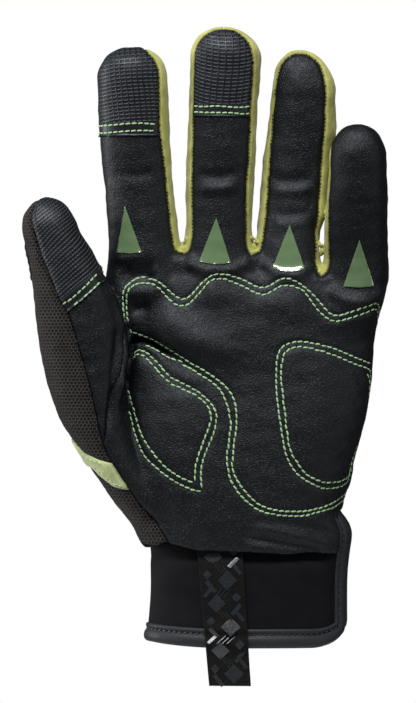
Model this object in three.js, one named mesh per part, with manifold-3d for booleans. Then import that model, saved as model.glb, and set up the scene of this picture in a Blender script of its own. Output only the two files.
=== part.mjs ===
// A left-hand work glove, filled out as on a hand: fingers up (+Z), palm towards -Y, thumb towards -X.
// The origin is the middle of the cuff's rim, where the wrist goes in. Lengths are in millimetres.
import * as THREE from 'three';
import { mergeVertices } from 'three/addons/utils/BufferGeometryUtils.js';
import Module from 'manifold-3d';

const wasm = await Module();
wasm.setup();

// Driving dimensions
const shellWall = 2.0; // leather or mesh with its lining
const seamGap = 0.3; // clearance between two sewn pieces
const patchThickness = 0.8; // moulded triangles
const capThickness = 1.0; // textured leather over a fingertip
const bandThickness = 1.0; // green strip over the back
const guardThickness = 2.0; // rubber pad on the back of the thumb
const hemHeight = 39; // lower edge of the leather and of the mesh
const cuffWall = 2.4; // neoprene
const cuffTop = 46;
const bindingHeight = 5.6;
const bindingProud = 0.8; // binding beyond each face of the neoprene
const slitTop = 54; // upper end of the slit on the little finger's side
const slitFront = -6;
const slitBack = 0;
const bindingWidth = 6.2; // bound edge beside the slit, measured front to back
const tabThickness = 1.4;
const strapThickness = 2.0; // closing strap
const squareness = 2.4; // exponent of every section: 2 is an ellipse

// Sections, one row for each height: the outline's four sides at that height.
const table = (columns, rows) => rows.map((row) =>
  Object.fromEntries(columns.map((name, i) => [name, row[i]])));
const sides = ['z', 'left', 'right', 'front', 'back'];

const palmRows = table(sides, [
  [36, -43.0, 37.5, -21.6, 21.0],
  [44, -45.0, 38.6, -22.6, 21.4],
  [52, -49.0, 38.8, -23.6, 21.4],
  [60, -54.6, 40.4, -24.0, 21.0],
  [68, -58.6, 43.0, -24.0, 20.4],
  [77, -59.0, 44.6, -23.6, 19.8],
  [85, -58.0, 46.6, -23.0, 19.2],
  [94, -56.4, 49.0, -22.2, 18.8],
  [110, -55.6, 51.6, -20.2, 17.8],
  [127, -56.0, 52.9, -18.6, 17.0],
  [140, -57.6, 55.2, -17.0, 15.8],
  [150, -58.2, 57.4, -14.6, 14.0],
  [160, -58.0, 58.2, -11.4, 11.4],
]);

const indexRows = table(sides, [
  [134, -57.3, -26.8, -15.4, 14.6],
  [152, -58.4, -26.2, -15.0, 14.0],
  [164, -57.9, -27.0, -14.6, 13.0],
  [170, -57.8, -28.4, -14.4, 12.4],
  [185, -58.9, -30.3, -14.4, 11.2],
  [205, -61.0, -32.0, -15.0, 9.8],
  [226, -61.8, -32.4, -16.0, 8.0],
  [248, -61.8, -33.2, -16.6, 7.0],
]);

const middleRows = table(sides, [
  [134, -26.5, 1.6, -16.2, 15.6],
  [152, -27.4, 2.4, -15.6, 14.8],
  [164, -26.4, 1.6, -14.8, 13.6],
  [170, -26.2, 1.0, -14.5, 13.0],
  [185, -25.7, 2.1, -14.4, 11.8],
  [205, -25.2, 3.6, -15.2, 10.4],
  [226, -24.3, 4.2, -16.0, 8.8],
  [256, -23.9, 5.6, -16.8, 7.0],
]);

const ringRows = table(sides, [
  [134, 1.6, 29.6, -15.8, 15.4],
  [150, 2.4, 30.4, -14.8, 14.8],
  [163, 2.2, 29.7, -13.4, 14.0],
  [170, 3.9, 30.1, -12.1, 14.3],
  [185, 5.0, 32.2, -10.0, 14.8],
  [201, 6.3, 34.2, -9.2, 14.8],
  [218, 8.7, 36.3, -9.2, 14.0],
  [247, 10.0, 35.6, -10.0, 12.2],
]);

const littleRows = table(sides, [
  [124, 27.4, 51.4, -13.6, 13.0],
  [133, 28.6, 53.6, -14.2, 13.4],
  [143, 29.8, 56.2, -14.6, 13.0],
  [153, 30.6, 58.5, -14.8, 12.0],
  [160, 31.7, 58.5, -15.9, 10.3],
  [170, 32.1, 58.1, -18.4, 6.4],
  [185, 32.6, 58.1, -22.4, 1.2],
  [201, 34.0, 57.4, -25.0, -2.6],
  [216, 34.8, 56.6, -25.8, -4.4],
]);

const thumbRows = table(sides, [
  [48, -46.0, -26.0, -19.0, 12.0],
  [60, -55.2, -32.0, -21.0, 13.0],
  [68, -61.2, -38.0, -22.6, 13.0],
  [77, -67.2, -43.0, -24.4, 12.6],
  [85, -72.2, -46.5, -25.8, 12.0],
  [94, -77.4, -48.5, -27.0, 10.8],
  [110, -83.0, -49.5, -28.4, 8.0],
  [127, -86.3, -49.8, -29.4, 4.6],
  [143, -88.2, -53.5, -30.0, 1.0],
  [156, -90.9, -60.4, -30.2, -2.0],
  [164, -91.9, -64.7, -30.0, -3.6],
  [172, -92.8, -68.8, -29.6, -5.0],
  [186, -92.0, -72.6, -28.8, -6.6],
]);

const cuffRows = table(sides, [
  [-18, -41.8, 41.6, -20.6, 20.6],
  [0, -41.6, 41.4, -20.4, 20.4],
  [18, -40.4, 41.4, -20.0, 20.0],
  [33, -40.2, 40.0, -19.2, 19.2],
  [38, -39.8, 34.8, -17.4, 17.4],
  [48, -40.6, 34.6, -18.0, 17.8],
]);

const bindingRows = table(sides, [
  [-18, -41.8, 41.6, -20.6, 20.6],
  [0, -41.6, 41.4, -20.4, 20.4],
  [18, -40.4, 41.2, -20.0, 20.0],
  [36, -40.2, 41.6, -20.4, 20.2],
  [46, -41.0, 42.2, -21.4, 20.8],
  [56, -42.0, 42.0, -22.0, 21.0],
]);

// How many sides and rings each tube has, and the height of its round tip.
const tubes = {
  palm: { rows: palmRows, tip: 7, around: 30, along: 14 },
  index: { rows: indexRows, tip: 13, around: 14, along: 9 },
  middle: { rows: middleRows, tip: 13, around: 14, along: 9 },
  ring: { rows: ringRows, tip: 14, around: 14, along: 9 },
  little: { rows: littleRows, tip: 11, around: 14, along: 8 },
  thumb: { rows: thumbRows, tip: 14, around: 18, along: 11 },
};

// Soft relief on the front of the hand: pads and folds, each pushed out or drawn in by its rise.
const padBumps = table(['x', 'z', 'halfWidth', 'halfHeight', 'rise'], [
  [-34, 98, 15, 26, 2.4], // ball of the thumb
  [30, 96, 18, 24, 1.8], // heel of the hand
  [-2, 128, 30, 14, 1.0], // middle of the palm
  [-44, 147, 12, 7, 1.8], // under the index finger
  [-13, 145, 12, 7, 1.8],
  [16, 142, 12, 7, 1.8],
  [44, 136, 12, 7, 1.8], // under the little finger
]);
const creases = table(['x0', 'z0', 'x1', 'z1', 'halfWidth', 'depth'], [
  [-50, 126, -22, 116, 5.0, 3.0], // fold from the thumb's crotch
  [-22, 116, -4, 102, 4.5, 2.4],
  [-58, 104, -54, 122, 4.5, 3.0], // fold along the root of the thumb
  [-6, 52, 28, 50, 4.0, 2.0], // fold over the wrist
]);

// The row at a height, with every column on one smooth curve through the rows.
function sectionAt(rows, z) {
  const last = rows.length - 1;
  const height = Math.min(Math.max(z, rows[0].z), rows[last].z);
  let i = 0;
  while (i < last - 1 && height > rows[i + 1].z) i += 1;
  const [a, b] = [rows[i], rows[i + 1]];
  const [before, after] = [rows[Math.max(i - 1, 0)], rows[Math.min(i + 2, last)]];
  const span = b.z - a.z;
  const t = (height - a.z) / span;
  const made = { z: height };
  for (const name of Object.keys(a)) {
    if (name === 'z') continue;
    const slopeA = ((b[name] - before[name]) / (b.z - before.z)) * span;
    const slopeB = ((after[name] - a[name]) / (after.z - a.z)) * span;
    made[name] = a[name] * (1 + 2 * t) * (1 - t) ** 2 + slopeA * t * (1 - t) ** 2
      + b[name] * t * t * (3 - 2 * t) + slopeB * t * t * (t - 1);
  }
  return made;
}

const bell = (distance) => Math.exp(-distance * distance);
const clamp01 = (value) => Math.min(Math.max(value, 0), 1);
const softStep = (value) => clamp01(value) ** 2 * (3 - 2 * clamp01(value));

// How far the front of the hand stands out of its plain section at x, z. The hollow's folds are wider,
// so that the wall keeps its thickness beside them.
function reliefAt(x, z, foldWidth) {
  const rise = padBumps.reduce((sum, pad) => sum
    + pad.rise * bell(Math.hypot((x - pad.x) / pad.halfWidth, (z - pad.z) / pad.halfHeight)), 0);
  return creases.reduce((sum, fold) => {
    const [dx, dz] = [fold.x1 - fold.x0, fold.z1 - fold.z0];
    const t = clamp01(((x - fold.x0) * dx + (z - fold.z0) * dz) / (dx * dx + dz * dz));
    const away = Math.hypot(x - fold.x0 - t * dx, z - fold.z0 - t * dz);
    return sum - fold.depth * bell(away / fold.halfWidth / foldWidth);
  }, rise);
}

// A closed mesh as a solid that can be joined and cut.
function solidOf(geometry) {
  const bare = geometry.clone();
  bare.deleteAttribute('normal');
  bare.deleteAttribute('uv');
  const merged = mergeVertices(bare, 1e-4);
  return new wasm.Manifold(new wasm.Mesh({
    numProp: 3,
    vertProperties: merged.attributes.position.array,
    triVerts: new Uint32Array(merged.index.array),
  }));
}

const tipRings = 4;
const tipAngle = 1.4; // where a round tip ends in a small flat, in radians from its shoulder

// A tube that stands up through its sections and closes in a round tip at the top. A positive inset
// makes it smaller all round, and may depend on the height.
function tubeSolid({ rows, tip, around, along }, inset = 0, withRelief = false) {
  const insetAt = typeof inset === 'function' ? inset : () => inset;
  const bottom = rows[0].z;
  const top = rows[rows.length - 1].z - insetAt(rows[rows.length - 1].z) * (tip > 0 ? 1 : 0);
  const shoulder = top - tip;
  const straightShare = tip > 0 ? 1 - tipRings / along : 1;
  const geometry = new THREE.CylinderGeometry(1, 1, 1, around, along);
  const place = geometry.attributes.position;
  for (let i = 0; i < place.count; i += 1) {
    const t = place.getY(i) + 0.5;
    const [across, forward] = [place.getX(i), place.getZ(i)];
    let z = bottom + (t / straightShare) * (shoulder - bottom);
    let scale = 1;
    if (t > straightShare + 1e-6) {
      const angle = ((t - straightShare) / (1 - straightShare)) * tipAngle;
      z = shoulder + tip * Math.sin(angle);
      scale = Math.cos(angle) ** 0.8;
    }
    const s = sectionAt(rows, z);
    const halfWidth = (s.right - s.left) / 2 - insetAt(z);
    const halfDepth = (s.back - s.front) / 2 - insetAt(z);
    const power = 2 / squareness;
    const x = (s.left + s.right) / 2 + scale * halfWidth * Math.sign(across) * Math.abs(across) ** power;
    let y = (s.front + s.back) / 2 - scale * halfDepth * Math.sign(forward) * Math.abs(forward) ** power;
    const foldWidth = insetAt(z) > 0 ? 1.6 : 1;
    if (withRelief) y -= reliefAt(x, z, foldWidth) * softStep(forward * 1.6) * Math.min(scale * 1.5, 1);
    place.setXYZ(i, x, y, z);
  }
  return solidOf(geometry);
}

const joined = (solids) => solids.reduce((whole, next) => whole.add(next));
const coarse = ({ rows, tip, around, along }) => ({ rows, tip, around: around - 4, along: along - 2 });
const handSolid = (inset) => joined(Object.entries(tubes).map(([name, tube]) =>
  tubeSolid(inset > 0 ? coarse(tube) : tube, inset, name === 'palm' || name === 'thumb')));

// A block between two heights. Its left and right walls may be functions of the height.
const reach = { left: -110, right: 80, front: -60, back: 60, bottom: -30, top: 270 };
function block({ left = reach.left, right = reach.right, front = reach.front, back = reach.back,
  bottom = reach.bottom, top = reach.top, zSteps = 1 }) {
  const at = (side, z) => (typeof side === 'function' ? side(z) : side);
  const geometry = new THREE.BoxGeometry(1, 1, 1, 1, 1, zSteps);
  const place = geometry.attributes.position;
  for (let i = 0; i < place.count; i += 1) {
    const z = bottom + (place.getZ(i) + 0.5) * (top - bottom);
    const x = place.getX(i) > 0 ? at(right, z) : at(left, z);
    place.setXYZ(i, x, place.getY(i) > 0 ? back : front, z);
  }
  return solidOf(geometry);
}

// A prism along Y whose outline is given as [x, z] points.
function prism(points, front = reach.front, back = reach.back) {
  const outline = new THREE.Shape(points.map(([x, z]) => new THREE.Vector2(x, z)));
  const geometry = new THREE.ExtrudeGeometry(outline, { depth: back - front, bevelEnabled: false });
  geometry.rotateX(Math.PI / 2).translate(0, back, 0);
  return solidOf(geometry);
}

// Seams. The leather is in front of leatherLine, the mesh is behind meshLine, and between the
// fingers the green side strips lie between the two.
const leatherInset = { left: 6.4, right: 8.8 }; // front seam before a finger's middle, at its two sides
const meshInset = 6.5; // back seam behind a finger's middle
const wrapInset = 7.0; // where the leather reaches round the outer fingers
const turn = 2.0; // half width of the turn over a fingertip

const radialSeam = table(['z', 'x', 'innerX', 'innerY'], [
  [30, -31, -22, -4],
  [43, -33.6, -24, -4],
  [52, -39.5, -30, -4],
  [62, -47.0, -38, -4],
  [76, -56.0, -46, -3],
  [85, -59.9, -50, -2],
  [98, -62.6, -54, 0],
  [111, -65.6, -56, 4],
  [124, -69.4, -60, 6],
  [136, -73.2, -61, 4],
  [143, -77.2, -62, 2],
  [151, -80.5, -64, 0],
  [160, -84.4, -67, -4],
  [168, -86.7, -71, -6],
  [177, -89.2, -75, -8],
  [186, -90.0, -78, -10],
]);
const thumbSeam = table(['z', 'x'], [
  [79, -60.5],
  [86, -58.8],
  [94, -57.6],
  [105, -55.4],
  [114, -53.2],
  [124, -51.6],
  [133, -51.4],
  [141, -53.6],
  [148, -57.0],
  [154, -59.4],
  [170, -61.6],
  [190, -61.6],
]);

const axisOf = (name, z) => {
  const s = sectionAt(tubes[name].rows, z);
  return { ...s, x: (s.left + s.right) / 2, y: (s.front + s.back) / 2 };
};

// y of the hand's front face at x, z, without its relief.
function frontAt(x, z) {
  return Math.min(...['palm', 'thumb'].map((name) => {
    const s = axisOf(name, z);
    const u = Math.min(Math.abs((2 * (x - s.x)) / (s.right - s.left)), 1);
    return s.y - ((s.back - s.front) / 2) * (1 - u ** squareness) ** (1 / squareness);
  }));
}

// The leather's edge at a height, from the thumb's side to the little finger's: [x, y] points, always
// as many. The first four follow the seam on the thumb's side, the rest run between the fingers.
const onThumbSide = 4;
function leatherLine(z) {
  const root = Math.max(z, 150);
  const [index, middle, ring, little] = ['index', 'middle', 'ring', 'little'].map((n) => axisOf(n, root));
  const seam = sectionAt(radialSeam, z);
  const skin = frontAt(seam.x, z);
  const wrapX = z < 143 ? Math.min(little.x, axisOf('palm', z).right - 9) : little.x;
  const line = [
    [reach.left, skin - 12],
    [seam.x - 5, skin - 12],
    [seam.x, skin],
    [seam.innerX, seam.innerY],
    [index.x - turn - 6, index.y + wrapInset],
    [index.x - turn + 1.5, index.y + wrapInset],
    [index.x + turn + 1.5, index.y - leatherInset.left],
    [index.right, index.y - leatherInset.right],
    [middle.left, middle.y - leatherInset.left],
    [middle.right, middle.y - leatherInset.right],
    [ring.left, ring.y - leatherInset.left],
    [ring.right, ring.y - leatherInset.right],
    [Math.min(little.left, wrapX - 2 * turn), little.y - leatherInset.left],
    [wrapX - turn, little.y - leatherInset.left],
    [wrapX + turn, little.y + wrapInset],
    [reach.right, little.y + wrapInset],
  ];
  for (let i = 1; i < line.length; i += 1) line[i][0] = Math.max(line[i][0], line[i - 1][0] + 0.5);
  return line;
}

// The same line moved back, and to the left on the thumb's side, where the seam is steep.
const movedBack = (lineAt, shift) => (z) =>
  lineAt(z).map(([x, y], i) => [i > 0 && i <= onThumbSide ? x - shift : x, y + shift]);

// The mesh's edge: behind the side strips, and close behind the leather elsewhere.
const stripStations = { index: [6, 7], middle: [8, 9], ring: [10, 11], little: [12, 13] };
function meshLine(z) {
  const line = movedBack(leatherLine, seamGap)(z);
  for (const [name, stations] of Object.entries(stripStations)) {
    const y = axisOf(name, Math.max(z, 150)).y + meshInset;
    for (const i of stations) line[i][1] = Math.max(line[i][1], y);
  }
  return line;
}

// Everything behind a seam line, from below the hem to above the fingertips.
function behindLine(lineAt) {
  const [bottom, top] = [30, 264];
  const columns = lineAt(bottom).length - 1;
  const geometry = new THREE.BoxGeometry(1, 1, 1, columns, 1, 12);
  const place = geometry.attributes.position;
  for (let i = 0; i < place.count; i += 1) {
    const z = bottom + (place.getZ(i) + 0.5) * (top - bottom);
    const [x, y] = lineAt(z)[Math.round((place.getX(i) + 0.5) * columns)];
    place.setXYZ(i, x, place.getY(i) > 0 ? reach.back : y, z);
  }
  return solidOf(geometry);
}

const behindLeather = behindLine(leatherLine);
const behind = behindLine(meshLine);
const between = behindLine(movedBack(leatherLine, seamGap)).subtract(behindLine(movedBack(meshLine, -seamGap)));
const thumbRoot = 79;
const thumbSide = (grow) => block({
  right: (z) => sectionAt(thumbSeam, z).x + grow, bottom: thumbRoot - grow, zSteps: 12,
});

// The hand's shell, open at the hem, with the slit on the little finger's side and its bound edges.
const hand = handSolid(0);
const cavity = handSolid(shellWall);
const slitLeft = 30;
const boundEdges = (grow) => block({
  left: slitLeft, front: slitFront - bindingWidth - grow, back: slitBack + bindingWidth + grow, top: slitTop,
});
const shell = hand.subtract(cavity).intersect(block({ bottom: hemHeight })).subtract(boundEdges(seamGap));

const largest = (solid) => solid.decompose().sort((a, b) => b.volume() - a.volume())[0];
const leather = shell.subtract(behindLeather);
const stripBetween = (first, second) => {
  const [a, b] = [first, second].map((name) => (z) => axisOf(name, z).x);
  const side = block({
    left: (z) => a(z) + seamGap / 2, right: (z) => b(z) - seamGap / 2, bottom: 140, zSteps: 10,
  });
  return largest(shell.intersect(between).intersect(side));
};

// Thin pieces sewn or moulded on the hand's surface.
const nearSkin = handSolid(-seamGap);
const layer = (thickness) => handSolid(-seamGap - thickness).subtract(nearSkin);
const capLayer = layer(capThickness).subtract(behindLeather);
const capEdge = { index: 211.4, middle: 218.9 }; // height of each cap's lower edge
const fingerCap = (name) => largest(capLayer.intersect(block({
  left: (z) => axisOf(name, z).left - 3, right: (z) => axisOf(name, z).right + 2, bottom: capEdge[name], zSteps: 8,
})));
const thumbCapOutline = [[-77.3, 134.8], [-60.2, 148.1], [-60.2, 200], [-100, 200], [-100, 117.2]];
const thumbCap = largest(capLayer.intersect(prism(thumbCapOutline)));

const triangles = {
  triangle_index: [[-53.6, 162.6], [-43.6, 162.6], [-50.4, 181.8]],
  triangle_middle: [[-19.8, 158.8], [-6.9, 158.4], [-12.8, 177.0]],
  triangle_ring: [[10.4, 156.0], [23.6, 155.8], [17.5, 174.1]],
  triangle_little: [[39.7, 148.6], [52.3, 148.8], [46.2, 168.0]],
};
const patchLayer = layer(patchThickness);

const bandUpperEdge = [[-110, 92], [-76, 83.6], [-63, 77], [-52, 74], [60, 74]];
const bandLowerEdge = [[60, 62], [-46, 62], [-52, 65], [-110, 72]];
const bandLayer = layer(bandThickness).intersect(behind);
const band = largest(bandLayer.intersect(prism([...bandUpperEdge, ...bandLowerEdge])));
const guardPlace = block({ right: -74, front: -13, bottom: 151, top: 175 });
const guard = largest(layer(guardThickness).intersect(guardPlace));

// Cuff, its bound edge, the tab over its front and the closing strap over its back.
const cuffTube = { rows: cuffRows, tip: 0, around: 24, along: 7 };
const cuff = largest(tubeSolid(cuffTube)
  .subtract(tubeSolid(cuffTube, cuffWall))
  .intersect(block({ bottom: bindingHeight + seamGap, top: cuffTop }))
  .subtract(boundEdges(seamGap)));
const bindingTube = { rows: bindingRows, tip: 0, around: 24, along: 5 };
const binding = largest(tubeSolid(bindingTube, -bindingProud)
  .subtract(tubeSolid(bindingTube, cuffWall + bindingProud))
  .intersect(block({ top: bindingHeight }).add(boundEdges(0)))
  .intersect(block({ bottom: 0 }))
  .subtract(block({ left: slitLeft, front: slitFront, back: slitBack })));

const tabLift = table(['z', 'lift'], [[-18, 0.4], [-4, 0.9], [1, 1.3], [5, 1.3], [11, 0.5], [48, 0.4]]);
const tabSkin = (thickness) => tubeSolid(cuffTube, (z) => -sectionAt(tabLift, z).lift - thickness);
const tabOutline = [[-20.9, 41.5], [-2.8, 41.5], [1.4, -15.6], [-16.4, -15.8]];
const tab = largest(tabSkin(tabThickness).subtract(tabSkin(0)).intersect(prism(tabOutline, reach.front, -8)));

const strapOutline = [[-18, 10], [30, 10], [30, 34], [-18, 34], [-26, 31], [-30, 22], [-26, 13]];
const strap = largest(tubeSolid(cuffTube, -seamGap - strapThickness)
  .subtract(tubeSolid(cuffTube, -seamGap))
  .intersect(prism(strapOutline, 8, reach.back)));

// Materials
const finish = (color, roughness, metalness = 0) => new THREE.MeshStandardMaterial({ color, roughness, metalness });
const leatherBlack = finish(0x1d1e21, 0.6);
const capBlack = finish(0x212326, 0.55);
const meshBlack = finish(0x221f1f, 0.9);
const sideGreen = finish(0xa3a35a, 0.85);
const glossGreen = finish(0x6f9a63, 0.15);
const bandGreen = finish(0xa9b77f, 0.8);
const neopreneBlack = finish(0x121318, 0.85);
const bindingBlack = finish(0x1f2225, 0.5);
const rubberBlack = finish(0x151617, 0.6);
const webbingBlack = finish(0x1a1817, 0.8);

function meshOf(name, solid, material) {
  const made = solid.getMesh();
  const geometry = new THREE.BufferGeometry();
  geometry.setAttribute('position', new THREE.BufferAttribute(new Float32Array(made.vertProperties), 3));
  geometry.setIndex(new THREE.BufferAttribute(new Uint32Array(made.triVerts), 1));
  geometry.computeVertexNormals();
  const mesh = new THREE.Mesh(geometry, material);
  mesh.name = name;
  return mesh;
}

const glove = new THREE.Group();
glove.add(
  meshOf('palm_leather', largest(leather.subtract(thumbSide(seamGap))), leatherBlack),
  meshOf('thumb_leather', largest(leather.intersect(thumbSide(0))), leatherBlack),
  meshOf('back_mesh', largest(shell.intersect(behind)), meshBlack),
  meshOf('side_strip_index_middle', stripBetween('index', 'middle'), sideGreen),
  meshOf('side_strip_middle_ring', stripBetween('middle', 'ring'), sideGreen),
  meshOf('side_strip_ring_little', stripBetween('ring', 'little'), sideGreen),
  meshOf('index_cap', fingerCap('index'), capBlack),
  meshOf('middle_cap', fingerCap('middle'), capBlack),
  meshOf('thumb_cap', thumbCap, capBlack),
  meshOf('back_band', band, bandGreen),
  meshOf('thumb_guard', guard, rubberBlack),
  meshOf('cuff', cuff, neopreneBlack),
  meshOf('cuff_binding', binding, bindingBlack),
  meshOf('pull_tab', tab, webbingBlack),
  meshOf('closing_strap', strap, rubberBlack),
);
for (const [name, corners] of Object.entries(triangles)) {
  glove.add(meshOf(name, largest(patchLayer.intersect(prism(corners, reach.front, -4))), glossGreen));
}

export default glove;
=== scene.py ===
"""Blender scene of a left-hand work glove with a padded leather palm and a knitted back.

The glove stands fingers up (+Z), palm towards the camera (-Y) and thumb to the left (-X), as on a hand.
Sizes and places below are millimetres in the model's own frame. MM turns them into Blender's metres.
"""
import logging
from collections.abc import Callable, Iterable, Sequence
from dataclasses import dataclass, field
from enum import Enum
from math import cos, hypot, pi, radians, sin

import bmesh
import bpy
import numpy as np
from bmesh.types import BMEdge, BMesh, BMVert
from bpy.types import Material, Node, NodeSocket, Object
from mathutils import Matrix, Vector
from mathutils.bvhtree import BVHTree
from mathutils.kdtree import KDTree


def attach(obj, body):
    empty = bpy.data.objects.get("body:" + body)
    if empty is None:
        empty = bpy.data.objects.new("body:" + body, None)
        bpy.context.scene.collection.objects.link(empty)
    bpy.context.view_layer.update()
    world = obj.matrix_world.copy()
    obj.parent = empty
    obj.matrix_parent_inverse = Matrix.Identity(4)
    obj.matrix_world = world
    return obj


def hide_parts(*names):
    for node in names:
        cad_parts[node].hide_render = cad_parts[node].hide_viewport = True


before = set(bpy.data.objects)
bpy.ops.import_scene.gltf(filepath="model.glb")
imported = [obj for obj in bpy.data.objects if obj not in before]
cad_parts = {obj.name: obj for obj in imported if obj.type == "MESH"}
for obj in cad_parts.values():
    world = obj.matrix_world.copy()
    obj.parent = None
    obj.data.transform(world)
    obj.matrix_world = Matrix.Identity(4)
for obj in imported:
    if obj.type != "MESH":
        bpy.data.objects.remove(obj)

MM = 0.001
SQUARENESS = 2.4  # exponent of every section: 2 is an ellipse
BODY = "root"

log = logging.getLogger("glove")

Points = np.ndarray
Place = tuple[float, float]
Colour = tuple[int, int, int]
Path = tuple[Place, ...]
Level = Callable[[Points], Points]  # from rows of places to one value each


class Panel(Enum):
    """The panels that the hand's shell is sewn from. A value is the CAD node that it stands for."""

    PALM = "palm_leather"
    THUMB = "thumb_leather"
    BACK = "back_mesh"
    STRIP_INDEX_MIDDLE = "side_strip_index_middle"
    STRIP_MIDDLE_RING = "side_strip_middle_ring"
    STRIP_RING_LITTLE = "side_strip_ring_little"


# Curves and small geometry helpers


def bell(distance: Points) -> Points:
    """1 at no distance, falling smoothly to 0 past two."""
    return np.exp(-distance * distance)


def soft_step(value: Points) -> Points:
    """0 below 0, 1 above 1 and a smooth climb between."""
    held = np.clip(value, 0.0, 1.0)
    return held * held * (3.0 - 2.0 * held)


def hermite(stations: Points, values: Points, at: Points) -> Points:
    """Values on one smooth curve through a table's rows.

    Args:
        stations: The rows' rising stations.
        values: One row of values for each station.
        at: The stations that are wanted.

    Returns:
        One row of values for each wanted station.
    """
    last = len(stations) - 1
    held = np.clip(at, stations[0], stations[-1])
    i = np.clip(np.searchsorted(stations, held, side="right") - 1, 0, last - 1)
    before, after = np.maximum(i - 1, 0), np.minimum(i + 2, last)
    span = stations[i + 1] - stations[i]
    t = ((held - stations[i]) / span)[:, None]
    slope_a = (values[i + 1] - values[before]) * (span / (stations[i + 1] - stations[before]))[:, None]
    slope_b = (values[after] - values[i]) * (span / (stations[after] - stations[i]))[:, None]
    return (
        values[i] * (1 + 2 * t) * (1 - t) ** 2
        + slope_a * t * (1 - t) ** 2
        + values[i + 1] * t * t * (3 - 2 * t)
        + slope_b * t * t * (t - 1)
    )


def lengths(vectors: Points) -> Points:
    """Each row's length."""
    return np.linalg.norm(vectors, axis=1)


def read(rows: Sequence[Sequence[float]], at: Points) -> Points:
    """A table's later columns at some stations in its first, each as an array."""
    table = np.asarray(rows, float)
    return hermite(table[:, 0], table[:, 1:], np.atleast_1d(at)).T


def run_length(path: Points) -> Points:
    """Length along a path up to each of its points."""
    return np.concatenate([[0.0], np.cumsum(lengths(np.diff(path, axis=0)))])


def smooth_path(points: Sequence[Sequence[float]] | Points, step: float) -> Points:
    """Even samples of one smooth curve through some points.

    Args:
        points: The points that the curve passes, in any number of dimensions.
        step: The spacing of the samples, which is stretched a little to end on the last point.

    Returns:
        The samples, one a row.
    """
    given = np.asarray(points, float)
    chord = run_length(given)
    fine = hermite(chord, given, np.linspace(0.0, chord[-1], max(int(chord[-1] / step * 8), 16)))
    length = run_length(fine)
    wanted = np.linspace(0.0, length[-1], max(int(round(length[-1] / step)), 1) + 1)
    return np.stack([np.interp(wanted, length, column) for column in fine.T], axis=1)


def path_distance(places: Points, path: Points) -> tuple[Points, Points]:
    """Distance to an open path, and how far along it the nearest sample is, from 0 to 1."""
    away = np.full(len(places), np.inf)
    along = np.zeros(len(places))
    for i, sample in enumerate(path):
        squared = ((places - sample) ** 2).sum(axis=1)
        nearer = squared < away
        away[nearer] = squared[nearer]
        along[nearer] = i / max(len(path) - 1, 1)
    return np.sqrt(away), along


def nearness(places: Points, samples: Points) -> Points:
    """Distance from each place to the nearest of some samples."""
    tree = KDTree(len(samples))
    for i, sample in enumerate(samples):
        tree.insert(sample, i)
    tree.balance()
    return np.array([tree.find(place)[2] for place in places])


def inside_outline(places: Points, outline: Points) -> Points:
    """Which places lie inside a closed outline."""
    inside = np.zeros(len(places), bool)
    x, z = places[:, 0], places[:, 1]
    for (x0, z0), (x1, z1) in zip(outline, np.roll(outline, -1, axis=0)):
        crosses = (z0 > z) != (z1 > z)
        run = (x1 - x0) * (z - z0) / (z1 - z0 if z1 != z0 else 1e-9) + x0
        inside ^= crosses & (x < run)
    return inside


# Mesh helpers


def coords(bm: BMesh) -> Points:
    """Every vertex's place."""
    return np.array([v.co[:] for v in bm.verts]).reshape(-1, 3)


def put_coords(bm: BMesh, places: Points) -> None:
    """Moves every vertex to its row of places."""
    for vert, place in zip(bm.verts, places):
        vert.co = place


def copy_part(bm: BMesh, faces: Iterable[int]) -> BMesh:
    """A copy of a mesh with only some of its faces."""
    part = bm.copy()
    part.faces.ensure_lookup_table()
    kept = set(faces)
    rest = [face for face in part.faces if face.index not in kept]
    bmesh.ops.delete(part, geom=rest, context="FACES")
    return part


def mapped_grid(across: int, up: int, place: Callable[[Points, Points], Points]) -> BMesh:
    """A grid whose vertices are placed by a function of two shares, each from 0 to 1.

    Args:
        across: Cells along the first share.
        up: Cells along the second share.
        place: Turns arrays of both shares into rows of places.

    Returns:
        The placed grid, with touching edges merged.
    """
    bm = bmesh.new()
    bmesh.ops.create_grid(bm, x_segments=across, y_segments=up, size=0.5)
    shares = coords(bm) + 0.5
    put_coords(bm, place(shares[:, 0], shares[:, 1]))
    bmesh.ops.remove_doubles(bm, verts=bm.verts, dist=1e-4)
    return bm


def flat_sheet(outline: Sequence[Place], cell: float) -> BMesh:
    """A flat grid in X and Z, trimmed to a convex outline that is given anticlockwise."""
    corners = np.asarray(outline, float)
    low, size = corners.min(axis=0), np.ptp(corners, axis=0)
    across, up = (max(int(length / cell), 1) for length in size)
    bm = mapped_grid(
        across, up, lambda u, v: np.stack([low[0] + size[0] * u, 0 * u, low[1] + size[1] * v], axis=1)
    )
    for (x0, z0), (x1, z1) in zip(corners, np.roll(corners, -1, axis=0)):
        geom = bm.verts[:] + bm.edges[:] + bm.faces[:]
        outwards = (z1 - z0, 0.0, x0 - x1)
        bmesh.ops.bisect_plane(bm, geom=geom, plane_co=(x0, 0.0, z0), plane_no=outwards, clear_outer=True)
    return bm


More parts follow.
